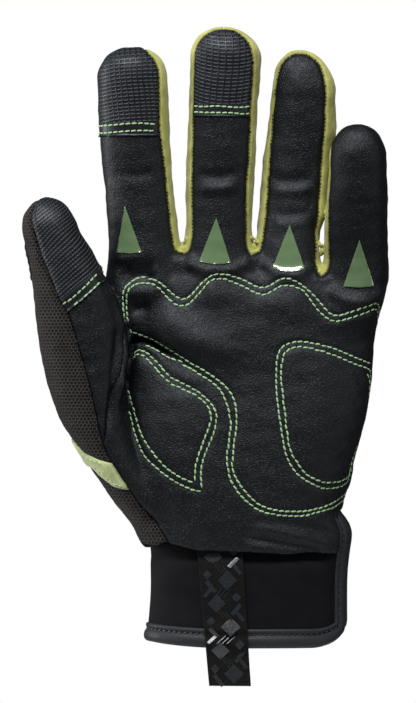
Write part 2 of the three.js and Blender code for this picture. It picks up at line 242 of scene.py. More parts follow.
def cut_along(bm: BMesh, level: Level, where: Level | None = None) -> None:
    """Cuts a mesh along the line on it where a function of the place is zero.

    Args:
        bm: The mesh.
        level: The function.
        where: Which vertices may be cut beside.
    """
    near_end = 0.18
    bm.verts.ensure_lookup_table()
    bm.verts.index_update()
    places = coords(bm)
    values = level(places).tolist()
    allowed = where(places).tolist() if where else None
    on_line: dict[BMVert, None] = {}  # in a steady order, unlike a set
    for edge in bm.edges[:]:
        a, b = edge.verts
        value_a, value_b = values[a.index], values[b.index]
        if value_a * value_b >= 0 or (allowed and not (allowed[a.index] and allowed[b.index])):
            continue
        t = value_a / (value_a - value_b)
        if t < near_end:
            a.co = a.co.lerp(b.co, t)
            values[a.index] = 0.0
            on_line[a] = None
        elif t > 1 - near_end:
            b.co = a.co.lerp(b.co, t)
            values[b.index] = 0.0
            on_line[b] = None
        else:
            _, middle = bmesh.utils.edge_split(edge, a, t)
            middle.index = len(values)
            values.append(0.0)
            if allowed:
                allowed.append(True)
            on_line[middle] = None
    bmesh.ops.connect_verts(bm, verts=list(on_line))
    bm.verts.index_update()
    bm.faces.index_update()


def round_rim(bm: BMesh, width: float) -> None:
    """Bevels the sharp edges of a closed piece."""
    sharp = [e for e in bm.edges if len(e.link_faces) == 2 and e.calc_face_angle(0.0) > radians(50)]
    bmesh.ops.bevel(
        bm, geom=sharp, offset=width, segments=2, profile=0.5, affect="EDGES", material=-1, clamp_overlap=True
    )


def face_away(bm: BMesh, x: float, y: float, z: float) -> None:
    """Turns the faces of an open sheet away from a point."""
    bmesh.ops.recalc_face_normals(bm, faces=bm.faces[:])
    point = Vector((x, y, z))
    if sum(face.normal.dot(face.calc_center_median() - point) for face in bm.faces) < 0:
        bmesh.ops.reverse_faces(bm, faces=bm.faces[:])


def seen(tree: BVHTree, x: float, z: float) -> tuple:
    """The place, normal, face and distance where a surface is seen from the front at an x and z."""
    return tree.ray_cast(Vector((x, -100, z)), Vector((0, 1, 0)))


def add_object(name: str, data: bpy.types.ID) -> Object:
    """A new object in the scene."""
    made = bpy.data.objects.new(name, data)
    bpy.context.scene.collection.objects.link(made)
    return made


def clad(bm: BMesh, low: float | Points, high: float | Points) -> None:
    """Turns a sheet into a closed piece between two heights along its normals.

    Args:
        bm: The sheet.
        low: Height of the inner face, for every vertex or for all.
        high: Height of the outer face, for every vertex or for all.
    """
    bm.normal_update()
    out = bm.verts.layers.float_vector.new("out")
    rise = bm.verts.layers.float.new("rise")
    heights = (np.broadcast_to(height, len(bm.verts)) for height in (low, high))
    for vert, bottom, top in zip(bm.verts, *heights):
        vert[out] = vert.normal
        vert[rise] = top - bottom
        vert.co += vert.normal * bottom
    grown = bmesh.ops.extrude_face_region(bm, geom=bm.faces[:], use_keep_orig=True)["geom"]
    for vert in grown:
        if isinstance(vert, BMVert):
            vert.co += vert[out] * vert[rise]
    bm.verts.layers.float.remove(rise)
    bm.verts.layers.float_vector.remove(bm.verts.layers.float_vector["out"])
    bmesh.ops.recalc_face_normals(bm, faces=bm.faces[:])


def make_piece(name: str, bm: BMesh, material: Material, replaces: str = "") -> Object:
    """Turns a mesh in millimetres into a finished piece of the glove.

    Args:
        name: The piece's name.
        bm: The mesh, which is freed.
        material: Its finish.
        replaces: The CAD node that it stands for.

    Returns:
        The new object, at the origin, riding on the glove's one body.
    """
    bmesh.ops.scale(bm, vec=(MM, MM, MM), verts=bm.verts)
    mesh = bpy.data.meshes.new(name)
    bm.to_mesh(mesh)
    bm.free()
    mesh.shade_smooth()
    mesh.set_sharp_from_angle(angle=radians(60))
    mesh.materials.append(material)
    piece = add_object(name, mesh)
    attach(piece, BODY)
    if replaces:
        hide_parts(replaces)
    log.info("%s: %d faces", name, len(mesh.polygons))
    return piece


# The hand's form


@dataclass(frozen=True)
class Tube:
    """A stem of the hand: its outline's four sides at some heights, and the height of its round tip.

    Attributes:
        rows: Height, left, right, front and back.
        tip: Height of the round tip, or 0 for an open end.
        fade: Over what height the stem swells from its root.
        point: How pointed the tip is: 1 is half an ellipse, and less is fuller.
    """

    rows: tuple[tuple[float, float, float, float, float], ...]
    tip: float = 0.0
    fade: float = 0.0
    point: float = 1.0

    @property
    def bottom(self) -> float:
        """Height of the lowest section."""
        return self.rows[0][0]

    @property
    def top(self) -> float:
        """Height of the tip."""
        return self.rows[-1][0]

    def section(self, z: Points) -> Points:
        """Left, right, front and back at some heights, as four arrays."""
        return read(self.rows, z)

    def oval(self, z: Points) -> tuple[Points, Points, Points, Points]:
        """x and y of the stem's middle, and half its width and its depth, at some heights."""
        left, right, front, back = self.section(z)
        return (left + right) / 2, (front + back) / 2, (right - left) / 2, (back - front) / 2

    def face(self, x: Points, z: Points, side: float = -1.0) -> Points:
        """y of the stem's front, or with a side of 1 its back, as if it had no tip."""
        middle_x, middle_y, half_width, half_depth = self.oval(z)
        across = np.minimum(np.abs(x - middle_x) / half_width, 1)
        return middle_y + side * half_depth * (1 - across**SQUARENESS) ** (1 / SQUARENESS)

    def front_at(self, x: Points, z: Points) -> Points:
        """y of the front of a stem with a tip at some x and z, or of its middle past its sides."""
        middle_x, middle_y, half_width, half_depth = self.oval(z)
        rise = np.clip((z - self.top + self.tip) / self.tip, 0.0, 1.0)
        ring = (1 - rise * rise) ** (self.point / 2)
        across = np.abs(x - middle_x) / half_width
        deep = np.maximum(ring**SQUARENESS - across**SQUARENESS, 0.0) ** (1 / SQUARENESS)
        return middle_y - half_depth * deep

    def level(self, places: Points) -> Points:
        """Less than 1 inside the stem, 1 on its skin and more outside."""
        middle_x, middle_y, half_width, half_depth = self.oval(places[:, 2])
        across = np.abs(places[:, 0] - middle_x) / half_width
        deep = np.abs(places[:, 1] - middle_y) / half_depth
        ring = (across**SQUARENESS + deep**SQUARENESS) ** (1 / SQUARENESS)
        if self.tip <= 0:
            return ring
        rise = np.clip((places[:, 2] - self.top + self.tip) / self.tip, 0.0, None)
        return (ring ** (2 / self.point) + rise * rise) ** (self.point / 2)

    def distance(self, places: Points) -> tuple[Points, Points]:
        """Distance out of the skin, and the unit direction out of it, for places near the skin."""
        step = 0.02
        root_depth = 2.5  # how deep in the hand a swelling stem starts
        level = self.level(places)
        slope = np.stack([(self.level(places + step * axis) - level) / step for axis in np.eye(3)], axis=1)
        steepness = np.maximum(lengths(slope), 1e-6)
        away = (level - 1) / steepness
        if self.fade:
            away = away + root_depth * (1 - soft_step((places[:, 2] - self.bottom) / self.fade))
            away = np.maximum(away, self.bottom - places[:, 2])
        return away, slope / steepness[:, None]

    def skin(self, angle: Points, z: Points, proud: float = 0.0) -> Points:
        """Places on the stem's side at some angles from +X, standing proud of it."""
        middle_x, middle_y, half_width, half_depth = self.oval(z)
        across, deep = (
            np.sign(side) * np.abs(side) ** (2 / SQUARENESS) for side in (np.cos(angle), np.sin(angle))
        )
        sizes = ((across, half_width), (deep, half_depth))
        out = np.stack([np.sign(at) * np.abs(at) ** (SQUARENESS - 1) / half for at, half in sizes], axis=1)
        out /= lengths(out)[:, None]
        x = middle_x + half_width * across + proud * out[:, 0]
        y = middle_y + half_depth * deep + proud * out[:, 1]
        return np.stack([x, y, z], axis=1)

    def solid(self, bm: BMesh) -> None:
        """Adds the closed stem to a mesh, as a sphere drawn out through the sections."""
        foot, shoulder = 0.06, 0.8
        made = bmesh.ops.create_uvsphere(bm, u_segments=48, v_segments=48, radius=1.0)["verts"]
        sphere = np.array([v.co[:] for v in made])
        share = np.arcsin(np.clip(sphere[:, 2], -1, 1)) / pi + 0.5
        angle = np.arctan2(sphere[:, 1], sphere[:, 0])
        lift = np.clip((share - shoulder) / (1 - shoulder), 0, 1) * pi / 2
        body = np.clip((share - foot) / (shoulder - foot), 0, 1)
        z = self.bottom + body * (self.top - self.tip - self.bottom) + self.tip * np.sin(lift)
        scale = np.clip(share / foot, 0, 1) * np.cos(lift) ** self.point
        scale[share > 1 - 1e-6] = 0.0
        middle = np.stack([*self.oval(z)[:2], z], axis=1)
        places = middle + (self.skin(angle, z) - middle) * scale[:, None]
        for vert, place in zip(made, places):
            vert.co = place


def frame_of(place: Vector, along: Vector, normal: Vector, size: Sequence[float]) -> Points:
    """A 3 by 4 matrix that lays a small shape on a surface.

    Args:
        place: Where its middle goes.
        along: Where its X axis points, roughly.
        normal: Where its Z axis points.
        size: Its length, width and height.

    Returns:
        The three sized axes in columns, then the place.
    """
    first = (along - normal * along.dot(normal)).normalized()
    side = normal.cross(first)
    columns = [np.array(axis) * scale for axis, scale in zip((first, side, normal), size)]
    return np.column_stack([*columns, np.array(place)])


@dataclass(frozen=True)
class Pad:
    """A soft rise on the palm."""

    x: float
    z: float
    half_width: float
    half_height: float
    rise: float


@dataclass(frozen=True)
class Fold:
    """A ridge or, with a negative rise, a valley along a path in X and Z."""

    points: Path
    half_width: float
    rise: float
    ends: tuple[float, float] = (0.25, 0.25)  # share of the length over which each end fades

    def height(self, places: Points) -> Points:
        """How far the fold lifts the leather at some places."""
        away, along = path_distance(places, smooth_path(self.points, 1.0))
        first, last = (max(end, 1e-3) for end in self.ends)
        ends = soft_step(along / first) * soft_step((1 - along) / last)
        return self.rise * bell(away / self.half_width) * ends


@dataclass(frozen=True)
class Row:
    """A row of stitches: points seen from the front, then points in space where it goes round a side."""

    front: Path
    side: tuple[tuple[float, float, float], ...] = ()

    def path(self, tree: BVHTree) -> Points:
        """The row's path on a surface, as close samples."""
        hits = (seen(tree, x, z)[0] for x, z in self.front)
        points = [hit[:] for hit in hits if hit] + [tree.find_nearest(Vector(p))[0][:] for p in self.side]
        return np.array([tree.find_nearest(Vector(p))[0][:] for p in smooth_path(points, 0.4)])


@dataclass(frozen=True)
class Stitch:
    """How one kind of stitch is spaced, sized and laid."""

    pitch: float = 2.5
    length: float = 2.3
    width: float = 0.72
    height: float = 0.5
    slant: float = 9.0  # degrees that each stitch turns out of its row
    lift: float = 0.12  # of its middle over the surface

    def frames(self, tree: BVHTree, path: Points) -> Points:
        """Where the stitches of a row lie on a surface.

        Args:
            tree: The surface.
            path: Samples of the row's path.

        Returns:
            One 3 by 4 matrix for each stitch.
        """
        centres = smooth_path(path, self.pitch)
        centres = (centres[:-1] + centres[1:]) / 2
        frames = []
        for i, centre in enumerate(centres):
            place, normal, _, _ = tree.find_nearest(Vector(centre))
            ahead = Vector(centres[min(i + 1, len(centres) - 1)] - centres[max(i - 1, 0)])
            along = Matrix.Rotation(radians(self.slant), 3, normal) @ (ahead - normal * ahead.dot(normal))
            size = (self.length, self.width, self.height)
            frames.append(frame_of(place + normal * self.lift, along, normal, size))
        return np.array(frames)


@dataclass(frozen=True)
class HandForm:
    """The filled-out hand: five fingers' stems joined to the palm's, with soft fillets between them."""

    fillet: float = 0.9  # how far apart two skins still blend
    voxel: float = 0.95  # cell of the even mesh
    palm: Tube = Tube(
        rows=(
            (20, -42, 36, -21, 20.4), (36, -43, 37.2, -21.6, 21), (44, -45, 38, -22.6, 21.4),
            (52, -49, 38.2, -23.6, 21.4), (60, -54.6, 40.2, -24, 21), (68, -58.6, 43, -24, 20.4),
            (77, -59, 44.6, -23.6, 19.8), (85, -58, 46.6, -23, 19.2), (94, -56.4, 49, -22.2, 18.8),
            (110, -55.6, 51.6, -20.2, 17.8), (127, -56, 52.9, -18.6, 17), (140, -57.6, 55, -17, 15.8),
            (150, -58.2, 57.4, -15, 14), (158, -58, 58.2, -12.8, 12),
        ),
        tip=7.0, point=0.8,
    )
    bridge: Tube = Tube(
        rows=(
            (138, -46, 18, -13.6, 13), (150, -45, 18, -13.8, 13), (158, -45, 18, -13.8, 12.8),
            (164.6, -45, 18, -13.4, 12.4),
        ),
        tip=6.0, fade=14.0, point=0.8,
    )
    index: Tube = Tube(
        rows=(
            (134, -57.3, -26.8, -15.4, 14.6), (152, -58.2, -26.2, -15, 14),
            (160, -57.7, -26.8, -14.8, 13.4), (165, -57.4, -27.4, -14.6, 12.9),
            (170, -57.5, -28.6, -14.4, 12.4), (176, -58, -29.3, -14.4, 11.9),
            (188.8, -58.9, -30.8, -14.4, 11), (205, -60.6, -31.9, -15, 9.8), (227, -61.4, -32.8, -16, 8),
            (236, -61.6, -33.3, -16.4, 7.4), (247.3, -61.6, -33.2, -16.6, 7),
        ),
        tip=13.0, fade=16.0, point=0.78,
    )
    middle: Tube = Tube(
        rows=(
            (134, -26.5, 1.6, -16.2, 15.6), (152, -27.4, 2.8, -15.6, 14.8), (160, -27.2, 3.2, -15.2, 14.2),
            (165, -26.6, 2.4, -14.9, 13.6), (170, -25.4, 1.8, -14.6, 13), (176, -24.9, 1.7, -14.5, 12.6),
            (188.8, -25.1, 2.5, -14.4, 11.6), (205, -24.6, 3.4, -15.2, 10.4), (216, -24, 3.7, -15.6, 9.6),
            (226, -23.7, 4.3, -16, 8.8), (234, -23.4, 5.1, -16.4, 8.2), (243, -23.2, 5.6, -16.6, 7.6),
            (256, -24.3, 4.5, -16.8, 7),
        ),
        tip=13.0, fade=16.0,
    )
    ring: Tube = Tube(
        rows=(
            (134, 1.6, 29.6, -15.8, 15.4), (150, 2.4, 30.9, -14.8, 14.8), (157, 2.6, 30.2, -14, 14.4),
            (165, 3.5, 29.8, -13, 14.3), (171, 4.4, 30, -11.8, 14.8), (175, 4.6, 31.3, -11, 15.2),
            (178.5, 5.1, 32.8, -10.4, 15.4), (185, 5.6, 33.8, -9.4, 15.6), (194, 6.3, 34.8, -8.9, 15.6),
            (203, 7.1, 35.6, -8.7, 15.2), (213, 8.7, 36.9, -9, 14.4), (223, 9.8, 36.5, -9.4, 13.6),
            (232, 10.6, 36.6, -9.6, 13), (246.7, 8.6, 35.2, -10, 12.2),
        ),
        tip=18.0, fade=16.0,
    )
    little: Tube = Tube(
        rows=(
            (124, 27.4, 51.4, -13.6, 13), (133, 28.6, 53.6, -14.2, 13.4), (143, 30.2, 56.2, -14.6, 13),
            (153, 31.4, 58.5, -14.8, 12), (160, 32.2, 58.5, -15.9, 10.3), (166, 32.2, 58.3, -17.3, 8),
            (172, 32.3, 58.1, -18.9, 5.8), (185, 33.1, 58.1, -22.4, 1.2), (195, 34, 57.8, -24, -1),
            (204, 34.1, 57.4, -25.2, -3), (215.6, 34.2, 57.2, -25.8, -4.4),
        ),
        tip=14.0, fade=16.0, point=0.94,
    )
    thumb: Tube = Tube(
        rows=(
            (48, -46, -26, -19, 12), (60, -55.2, -32, -21, 13), (68, -60.9, -38, -22.6, 13),
            (77, -66.8, -43, -24.4, 12.6), (85, -72, -46.5, -25.8, 12), (94, -77.4, -48.5, -27, 10.8),
            (110, -83, -49.5, -28.4, 8), (127, -86.2, -49.8, -29.4, 4.6), (143, -88, -53.5, -30, 1),
            (150, -88.5, -57, -30.2, -0.6), (157, -89.4, -61, -30.2, -2.2), (164, -91, -64.7, -30, -3.6),
            (172, -92.8, -69.7, -29.6, -5), (185, -93.2, -71.6, -28.8, -6.6),
        ),
        tip=13.0, fade=14.0,
    )

    @property
    def tubes(self) -> tuple[Tube, ...]:
        """Every stem."""
        return self.palm, self.bridge, self.index, self.middle, self.ring, self.little, self.thumb

    def distance(self, places: Points) -> tuple[Points, Points]:
        """Distance out of the joined skin, and the unit direction out of it."""
        pairs = [tube.distance(places) for tube in self.tubes]
        away = np.stack([pair[0] for pair in pairs])
        out = np.stack([pair[1] for pair in pairs])
        nearest = away.min(axis=0)
        share = np.exp(-np.clip((away - nearest) / self.fillet, 0, 30))
        total = share.sum(axis=0)
        normal = (out * (share / total)[:, :, None]).sum(axis=0)
        normal /= np.maximum(lengths(normal), 1e-6)[:, None]
        return nearest - self.fillet * np.log(total), normal

    def settle(self, places: Points, passes: int = 3) -> Points:
        """Places moved onto the joined skin."""
        for _ in range(passes):
            away, normal = self.distance(places)
            places = places - np.clip(away, -2, 2)[:, None] * normal
        return places

    def skin_mesh(self) -> BMesh:
        """The hand's closed skin as an even mesh of small faces."""
        bm = bmesh.new()
        for tube in self.tubes:
            tube.solid(bm)
        bmesh.ops.remove_doubles(bm, verts=bm.verts, dist=1e-4)
        mesh = bpy.data.meshes.new("stems")
        bm.to_mesh(mesh)
        bm.free()
        stems = add_object("stems", mesh)
        remesh = stems.modifiers.new("even", "REMESH")
        remesh.mode = "VOXEL"
        remesh.voxel_size = self.voxel
        graph = bpy.context.evaluated_depsgraph_get()
        even = bmesh.new()
        even.from_mesh(stems.evaluated_get(graph).to_mesh())
        bpy.data.objects.remove(stems)
        bpy.data.meshes.remove(mesh)
        for _ in range(2):
            bmesh.ops.smooth_vert(
                even, verts=even.verts, factor=0.5, use_axis_x=True, use_axis_y=True, use_axis_z=True
            )
            put_coords(even, self.settle(coords(even)))
        return even


@dataclass(frozen=True)
class SeamPlan:
    """Where the hand's panels meet: the leather's edge, the mesh's edge behind it and the thumb's seam."""

    form: HandForm
    crotch_depths: tuple[Points, ...]  # y of the skin at each point of the crotches' outlines
    crotches: tuple[Path, ...] = (
        # x and height of the seam round the bottom of each crotch, as seen from the front
        (
            (-30.5, 166.1), (-29.7, 164.6), (-28.6, 163.4), (-27, 162.9), (-25.1, 162.9), (-24.2, 163.4),
            (-23.8, 164.9), (-23.5, 167),
        ),
        (
            (0.1, 166.4), (0.3, 164.6), (0.8, 162.8), (1.8, 161.7), (3.2, 162.2), (4.8, 163.4),
            (5.7, 164.9), (6.1, 167),
        ),
        (
            (28.8, 156.6), (29.1, 154.5), (29.7, 153.2), (30.6, 152.8), (31.8, 153.4), (32.8, 154.7),
            (33.3, 156.6),
        ),
    )
    over_tip: float = 1.6  # how far under a tip the seams on its two sides join over it
    crossing: float = 160.0  # height over which the ring and little fingers' seams part
    inset_mesh: float = 6.5  # mesh's edge behind a finger's middle
    index_right: Path = (
        # height and x of the leather's edge on a finger, as seen from the front
        (150, -28.6), (166, -29.7), (171.6, -31.1), (179.3, -32.1), (188.8, -33.1), (204.6, -34.9),
        (211.7, -35.9), (230.7, -36.2), (239.2, -36.8), (242.6, -38.3), (245.6, -41.7),
    )
    middle_left: Path = (
        (150, -24.4), (165, -23.5), (174.5, -23.1), (205.8, -22.9), (230.7, -22.3), (246.9, -21.4),
        (252, -18.3), (254.4, -13.6),
    )
    middle_right: Path = (
        (150, 0.2), (168, 0.1), (188.8, -0.2), (205.8, 1), (225.8, 1.6), (234.5, 2.3), (244, 2),
        (249.8, 0.3), (253.6, -4.2),
    )
    ring_left: Path = (
        (150, 5.4), (165.2, 5.8), (176, 7), (184.9, 8.1), (206.4, 9.2), (219, 10), (231.2, 11.4),
        (239.1, 13.3), (243.5, 16), (245.8, 20),
    )
    ring_right: Path = (
        (150, 29), (171.8, 29.1), (184.8, 29.8), (206.4, 31.1), (215, 32), (223.3, 32.8), (231.2, 32.7),
        (237.9, 31), (242, 28.6), (245, 24.4),
    )
    little_left: Path = (
        (150, 33.2), (163, 33.7), (184.8, 34.3), (195.2, 35.2), (201.7, 34.9), (209, 35.2), (214, 37.5),
    )
    wrap: float = 7.0  # how far behind their middles the leather reaches round the outer fingers
    turn: float = 2.0  # half width of the turn over a fingertip
    root: float = 150.0  # below this height the seams run straight on into the palm
    softness: float = 0.5  # half width over which the line's corners are rounded
    side: tuple[tuple[float, float, float, float], ...] = (
        # height, x at the front skin, and x and y inside the thumb's root
        (30, -31, -22, -4), (43, -33.6, -24, -4), (52, -39.5, -30, -4), (62, -47, -38, -4),
        (76, -56, -46, -3), (85, -59.9, -50, -2), (98, -62.6, -54, 0), (111, -65.6, -56, 4),
        (124, -69.4, -60, 6), (136, -73.2, -61, 5), (143, -77.2, -62, 5), (151, -80.5, -64, 5),
        (160, -84.4, -67, 5), (168, -86.7, -70, 6), (177, -89.2, -72, 6), (186, -90, -74, 6),
    )
    thumb: Path = (
        # height and x of the seam that sets the thumb in
        (79, -60.5), (86, -58.8), (94, -57.6), (105, -55.4), (114, -53.2), (124, -51.6), (133, -51.4),
        (141, -53.6), (148, -57), (154, -59.4), (170, -61.6), (190, -61.6),
    )

    @property
    def fingers(self) -> tuple[Tube, ...]:
        """The four fingers' stems, from the thumb's side."""
        return self.form.index, self.form.middle, self.form.ring, self.form.little

    def front_skin(self, x: Points, z: Points) -> Points:
        """y of the hand's front at some x and z."""
        return np.minimum(self.form.palm.face(x, z), self.form.thumb.face(x, z))

    def held(self, z: Points, tube: Tube) -> Points:
        """Heights held between the fingers' roots and just under a finger's tip."""
        return np.clip(z, self.root, tube.top - self.over_tip)

    def crotch_shifts(self, high: Points) -> list[Points]:
        """How far each gap between two fingers lies to the right of its foot."""
        shifts = []
        for left, right, outline in zip(self.fingers, self.fingers[1:], self.crotches):
            foot = np.array([outline[-1][1]])
            middles = [
                (left.section(at)[1] + right.section(at)[0]) / 2 for at in (np.maximum(high, foot), foot)
            ]
            shifts.append(middles[0] - middles[1])
        return shifts

    def beside(self, number: int, end: int, shifts: list[Points]) -> Points:
        """x half a millimetre outside one end of a crotch's outline: 0 for its left end, -1 for its right."""
        return self.crotches[number][end][0] + (0.5 if end else -0.5) + shifts[number]

    def owned(self, places: Points) -> Points:
        """x at which the line is read: a place on the ring or the little finger keeps to its own side."""
        x, z = places[:, 0], places[:, 2]
        form = self.form
        shifts = self.crotch_shifts(np.maximum(z, self.root))
        on_little = form.little.level(places) < form.ring.level(places)
        between = (z > self.crossing) & (x > form.ring.oval(z)[0]) & (x < form.little.oval(z)[0])
        limits = (self.beside(2, end, shifts) for end in (-1, 0))
        own = np.where(on_little, np.maximum(x, next(limits)), np.minimum(x, next(limits)))
        return np.where(between, own, x)

    def stations(self, z: Points) -> tuple[Points, Points]:
        """x and y of the leather's edge at some heights, from the thumb's side to the little finger's."""
        form = self.form
        sections = [tube.section(self.held(z, tube)) for tube in self.fingers]
        index_x, little_x = ((t[0] + t[1]) / 2 for t in (sections[0], sections[3]))
        index_y, little_y = ((t[2] + t[3]) / 2 for t in (sections[0], sections[3]))

        def edge(number: int, rows: Path) -> Points:
            """y of the leather's edge on one side of a finger."""
            high = self.held(z, self.fingers[number])
            return self.fingers[number].front_at(read(rows, high)[0], high)

        shifts = self.crotch_shifts(np.maximum(z, self.root))
        seam_x, inner_x, inner_y = read(self.side, z)
        skin = self.front_skin(seam_x, z)
        line = [
            (np.full_like(z, -110.0), skin - 12),
            (seam_x - 5, skin - 12),
            (seam_x, skin),
            (inner_x, inner_y),
            (index_x - self.turn - 6, index_y + self.wrap),
            (index_x - self.turn + 4.0, index_y + self.wrap),
            (index_x + self.turn + 4.0, edge(0, self.index_right)),
        ]
        edges = (
            (self.index_right, self.middle_left),
            (self.middle_right, self.ring_left),
            (self.ring_right, self.little_left),
        )
        for number, (left_rows, right_rows) in enumerate(edges):
            start, end = (self.beside(number, side, shifts) for side in (0, -1))
            line.append((np.minimum(sections[number][1], start), edge(number, left_rows)))
            foot = zip(self.crotches[number], self.crotch_depths[number])
            line += [(x + shifts[number], np.full_like(z, depth)) for (x, _), depth in foot]
            line.append((np.maximum(sections[number + 1][0], end), edge(number + 1, right_rows)))
        little_left, little_edge = sections[3][0], line[-1][1]
        wrap_x = np.where(z < 143, np.minimum(little_x, form.palm.section(z)[1] - 9), little_x)
        line[-1] = (self.beside(2, -1, shifts), little_edge)
        line += [
            (np.minimum(little_left + 4.0, wrap_x - 2 * self.turn), little_edge),
            (np.minimum(little_left + 7.0, wrap_x - self.turn), little_y + self.wrap),
            (wrap_x + self.turn, little_y + self.wrap),
            (np.full_like(z, 80.0), little_y + self.wrap),
        ]
        xs, ys = np.stack([p[0] for p in line]), np.stack([p[1] for p in line])
        for i in range(1, len(xs)):
            xs[i] = np.maximum(xs[i], xs[i - 1] + 0.5)
        return xs, ys

    def line(self, places: Points, mesh_edge: bool = False) -> Points:
        """y of the leather's edge, or of the mesh's edge, level with some places."""
        x, z = self.owned(places), places[:, 2]
        xs, ys = self.stations(z)
        if mesh_edge:
            high = np.maximum(z, self.root)
            first = 6
            for tube, count in zip(self.fingers, (*(len(outline) + 2 for outline in self.crotches), 2)):
                behind = tube.oval(high)[1] + self.inset_mesh
                ys[first : first + count] = np.maximum(ys[first : first + count], behind)
                first += count
        total = np.zeros_like(x)
        shifts = (-self.softness, 0.0, self.softness)
        for shift in shifts:
            at = x + shift
            y = ys[0].copy()
            for i in range(len(xs) - 1):
                share = np.clip((at - xs[i]) / (xs[i + 1] - xs[i]), 0, 1)
                y = np.where(at >= xs[i], ys[i] + share * (ys[i + 1] - ys[i]), y)
            total += y
        return total / len(shifts)

    def behind_leather(self, places: Points) -> Points:
        """How far places lie behind the leather's edge."""
        return places[:, 1] - self.line(places)

    def behind_mesh_edge(self, places: Points) -> Points:
        """How far places lie behind the mesh's edge."""
        return places[:, 1] - self.line(places, mesh_edge=True)

    def past_thumb_seam(self, places: Points) -> Points:
        """How far places lie to the palm's side of the thumb's seam."""
        return places[:, 0] - read(self.thumb, places[:, 2])[0]

    def level_with_thumb_seam(self, places: Points) -> Points:
        """Which places are as high as some part of the thumb's seam."""
        return (places[:, 2] > self.thumb[0][0]) & (places[:, 2] < self.thumb[-1][0])

    def past_middle_of(self, tube: Tube) -> Level:
        """How far places lie to the right of a finger's middle, as a function."""
        return lambda places: places[:, 0] - tube.oval(places[:, 2])[0]


@dataclass(frozen=True)
class Hem:
    """The lower edge of the hand's shell, with the corner cut out for the slit's bound edges."""

    front: Path = (
        (-60, 43.4), (-45, 43.2), (-42.5, 42), (-38, 41.6), (-34, 42.8), (-20.8, 39.8), (-5.8, 39.4),
        (15.8, 38.2), (26.1, 39), (34, 38.6), (37.8, 40.3), (60, 44),
    )
    back: float = 40.0
    slit_top: float = 55.4
    slit_middle: float = 0.3
    slit_half: float = 9.0
    corner: float = 4.0  # radius of the leather's corner beside the slit

    def level(self, places: Points) -> Points:
        """How far places lie above the hem."""
        front = read(self.front, places[:, 0])[0]
        turn = soft_step((places[:, 1] + 4) / 12)
        above = places[:, 2] - (front + (self.back - front) * turn)
        across = np.abs(places[:, 1] - self.slit_middle) - self.slit_half + self.corner
        up = places[:, 2] - self.slit_top + self.corner
        beside = np.hypot(np.maximum(across, 0), np.maximum(up, 0)) + np.minimum(np.maximum(across, up), 0)
        return np.where(places[:, 0] > 30, np.minimum(above, beside - self.corner), above)

    def flare(self, places: Points) -> Points:
        """How far the shell stands off on both sides of the slit."""
        beside = bell((np.abs(places[:, 1] - self.slit_middle) - self.slit_half) / 7.0)
        return 3.4 * beside * soft_step((places[:, 0] - 18) / 14) * soft_step((56 - places[:, 2]) / 8)


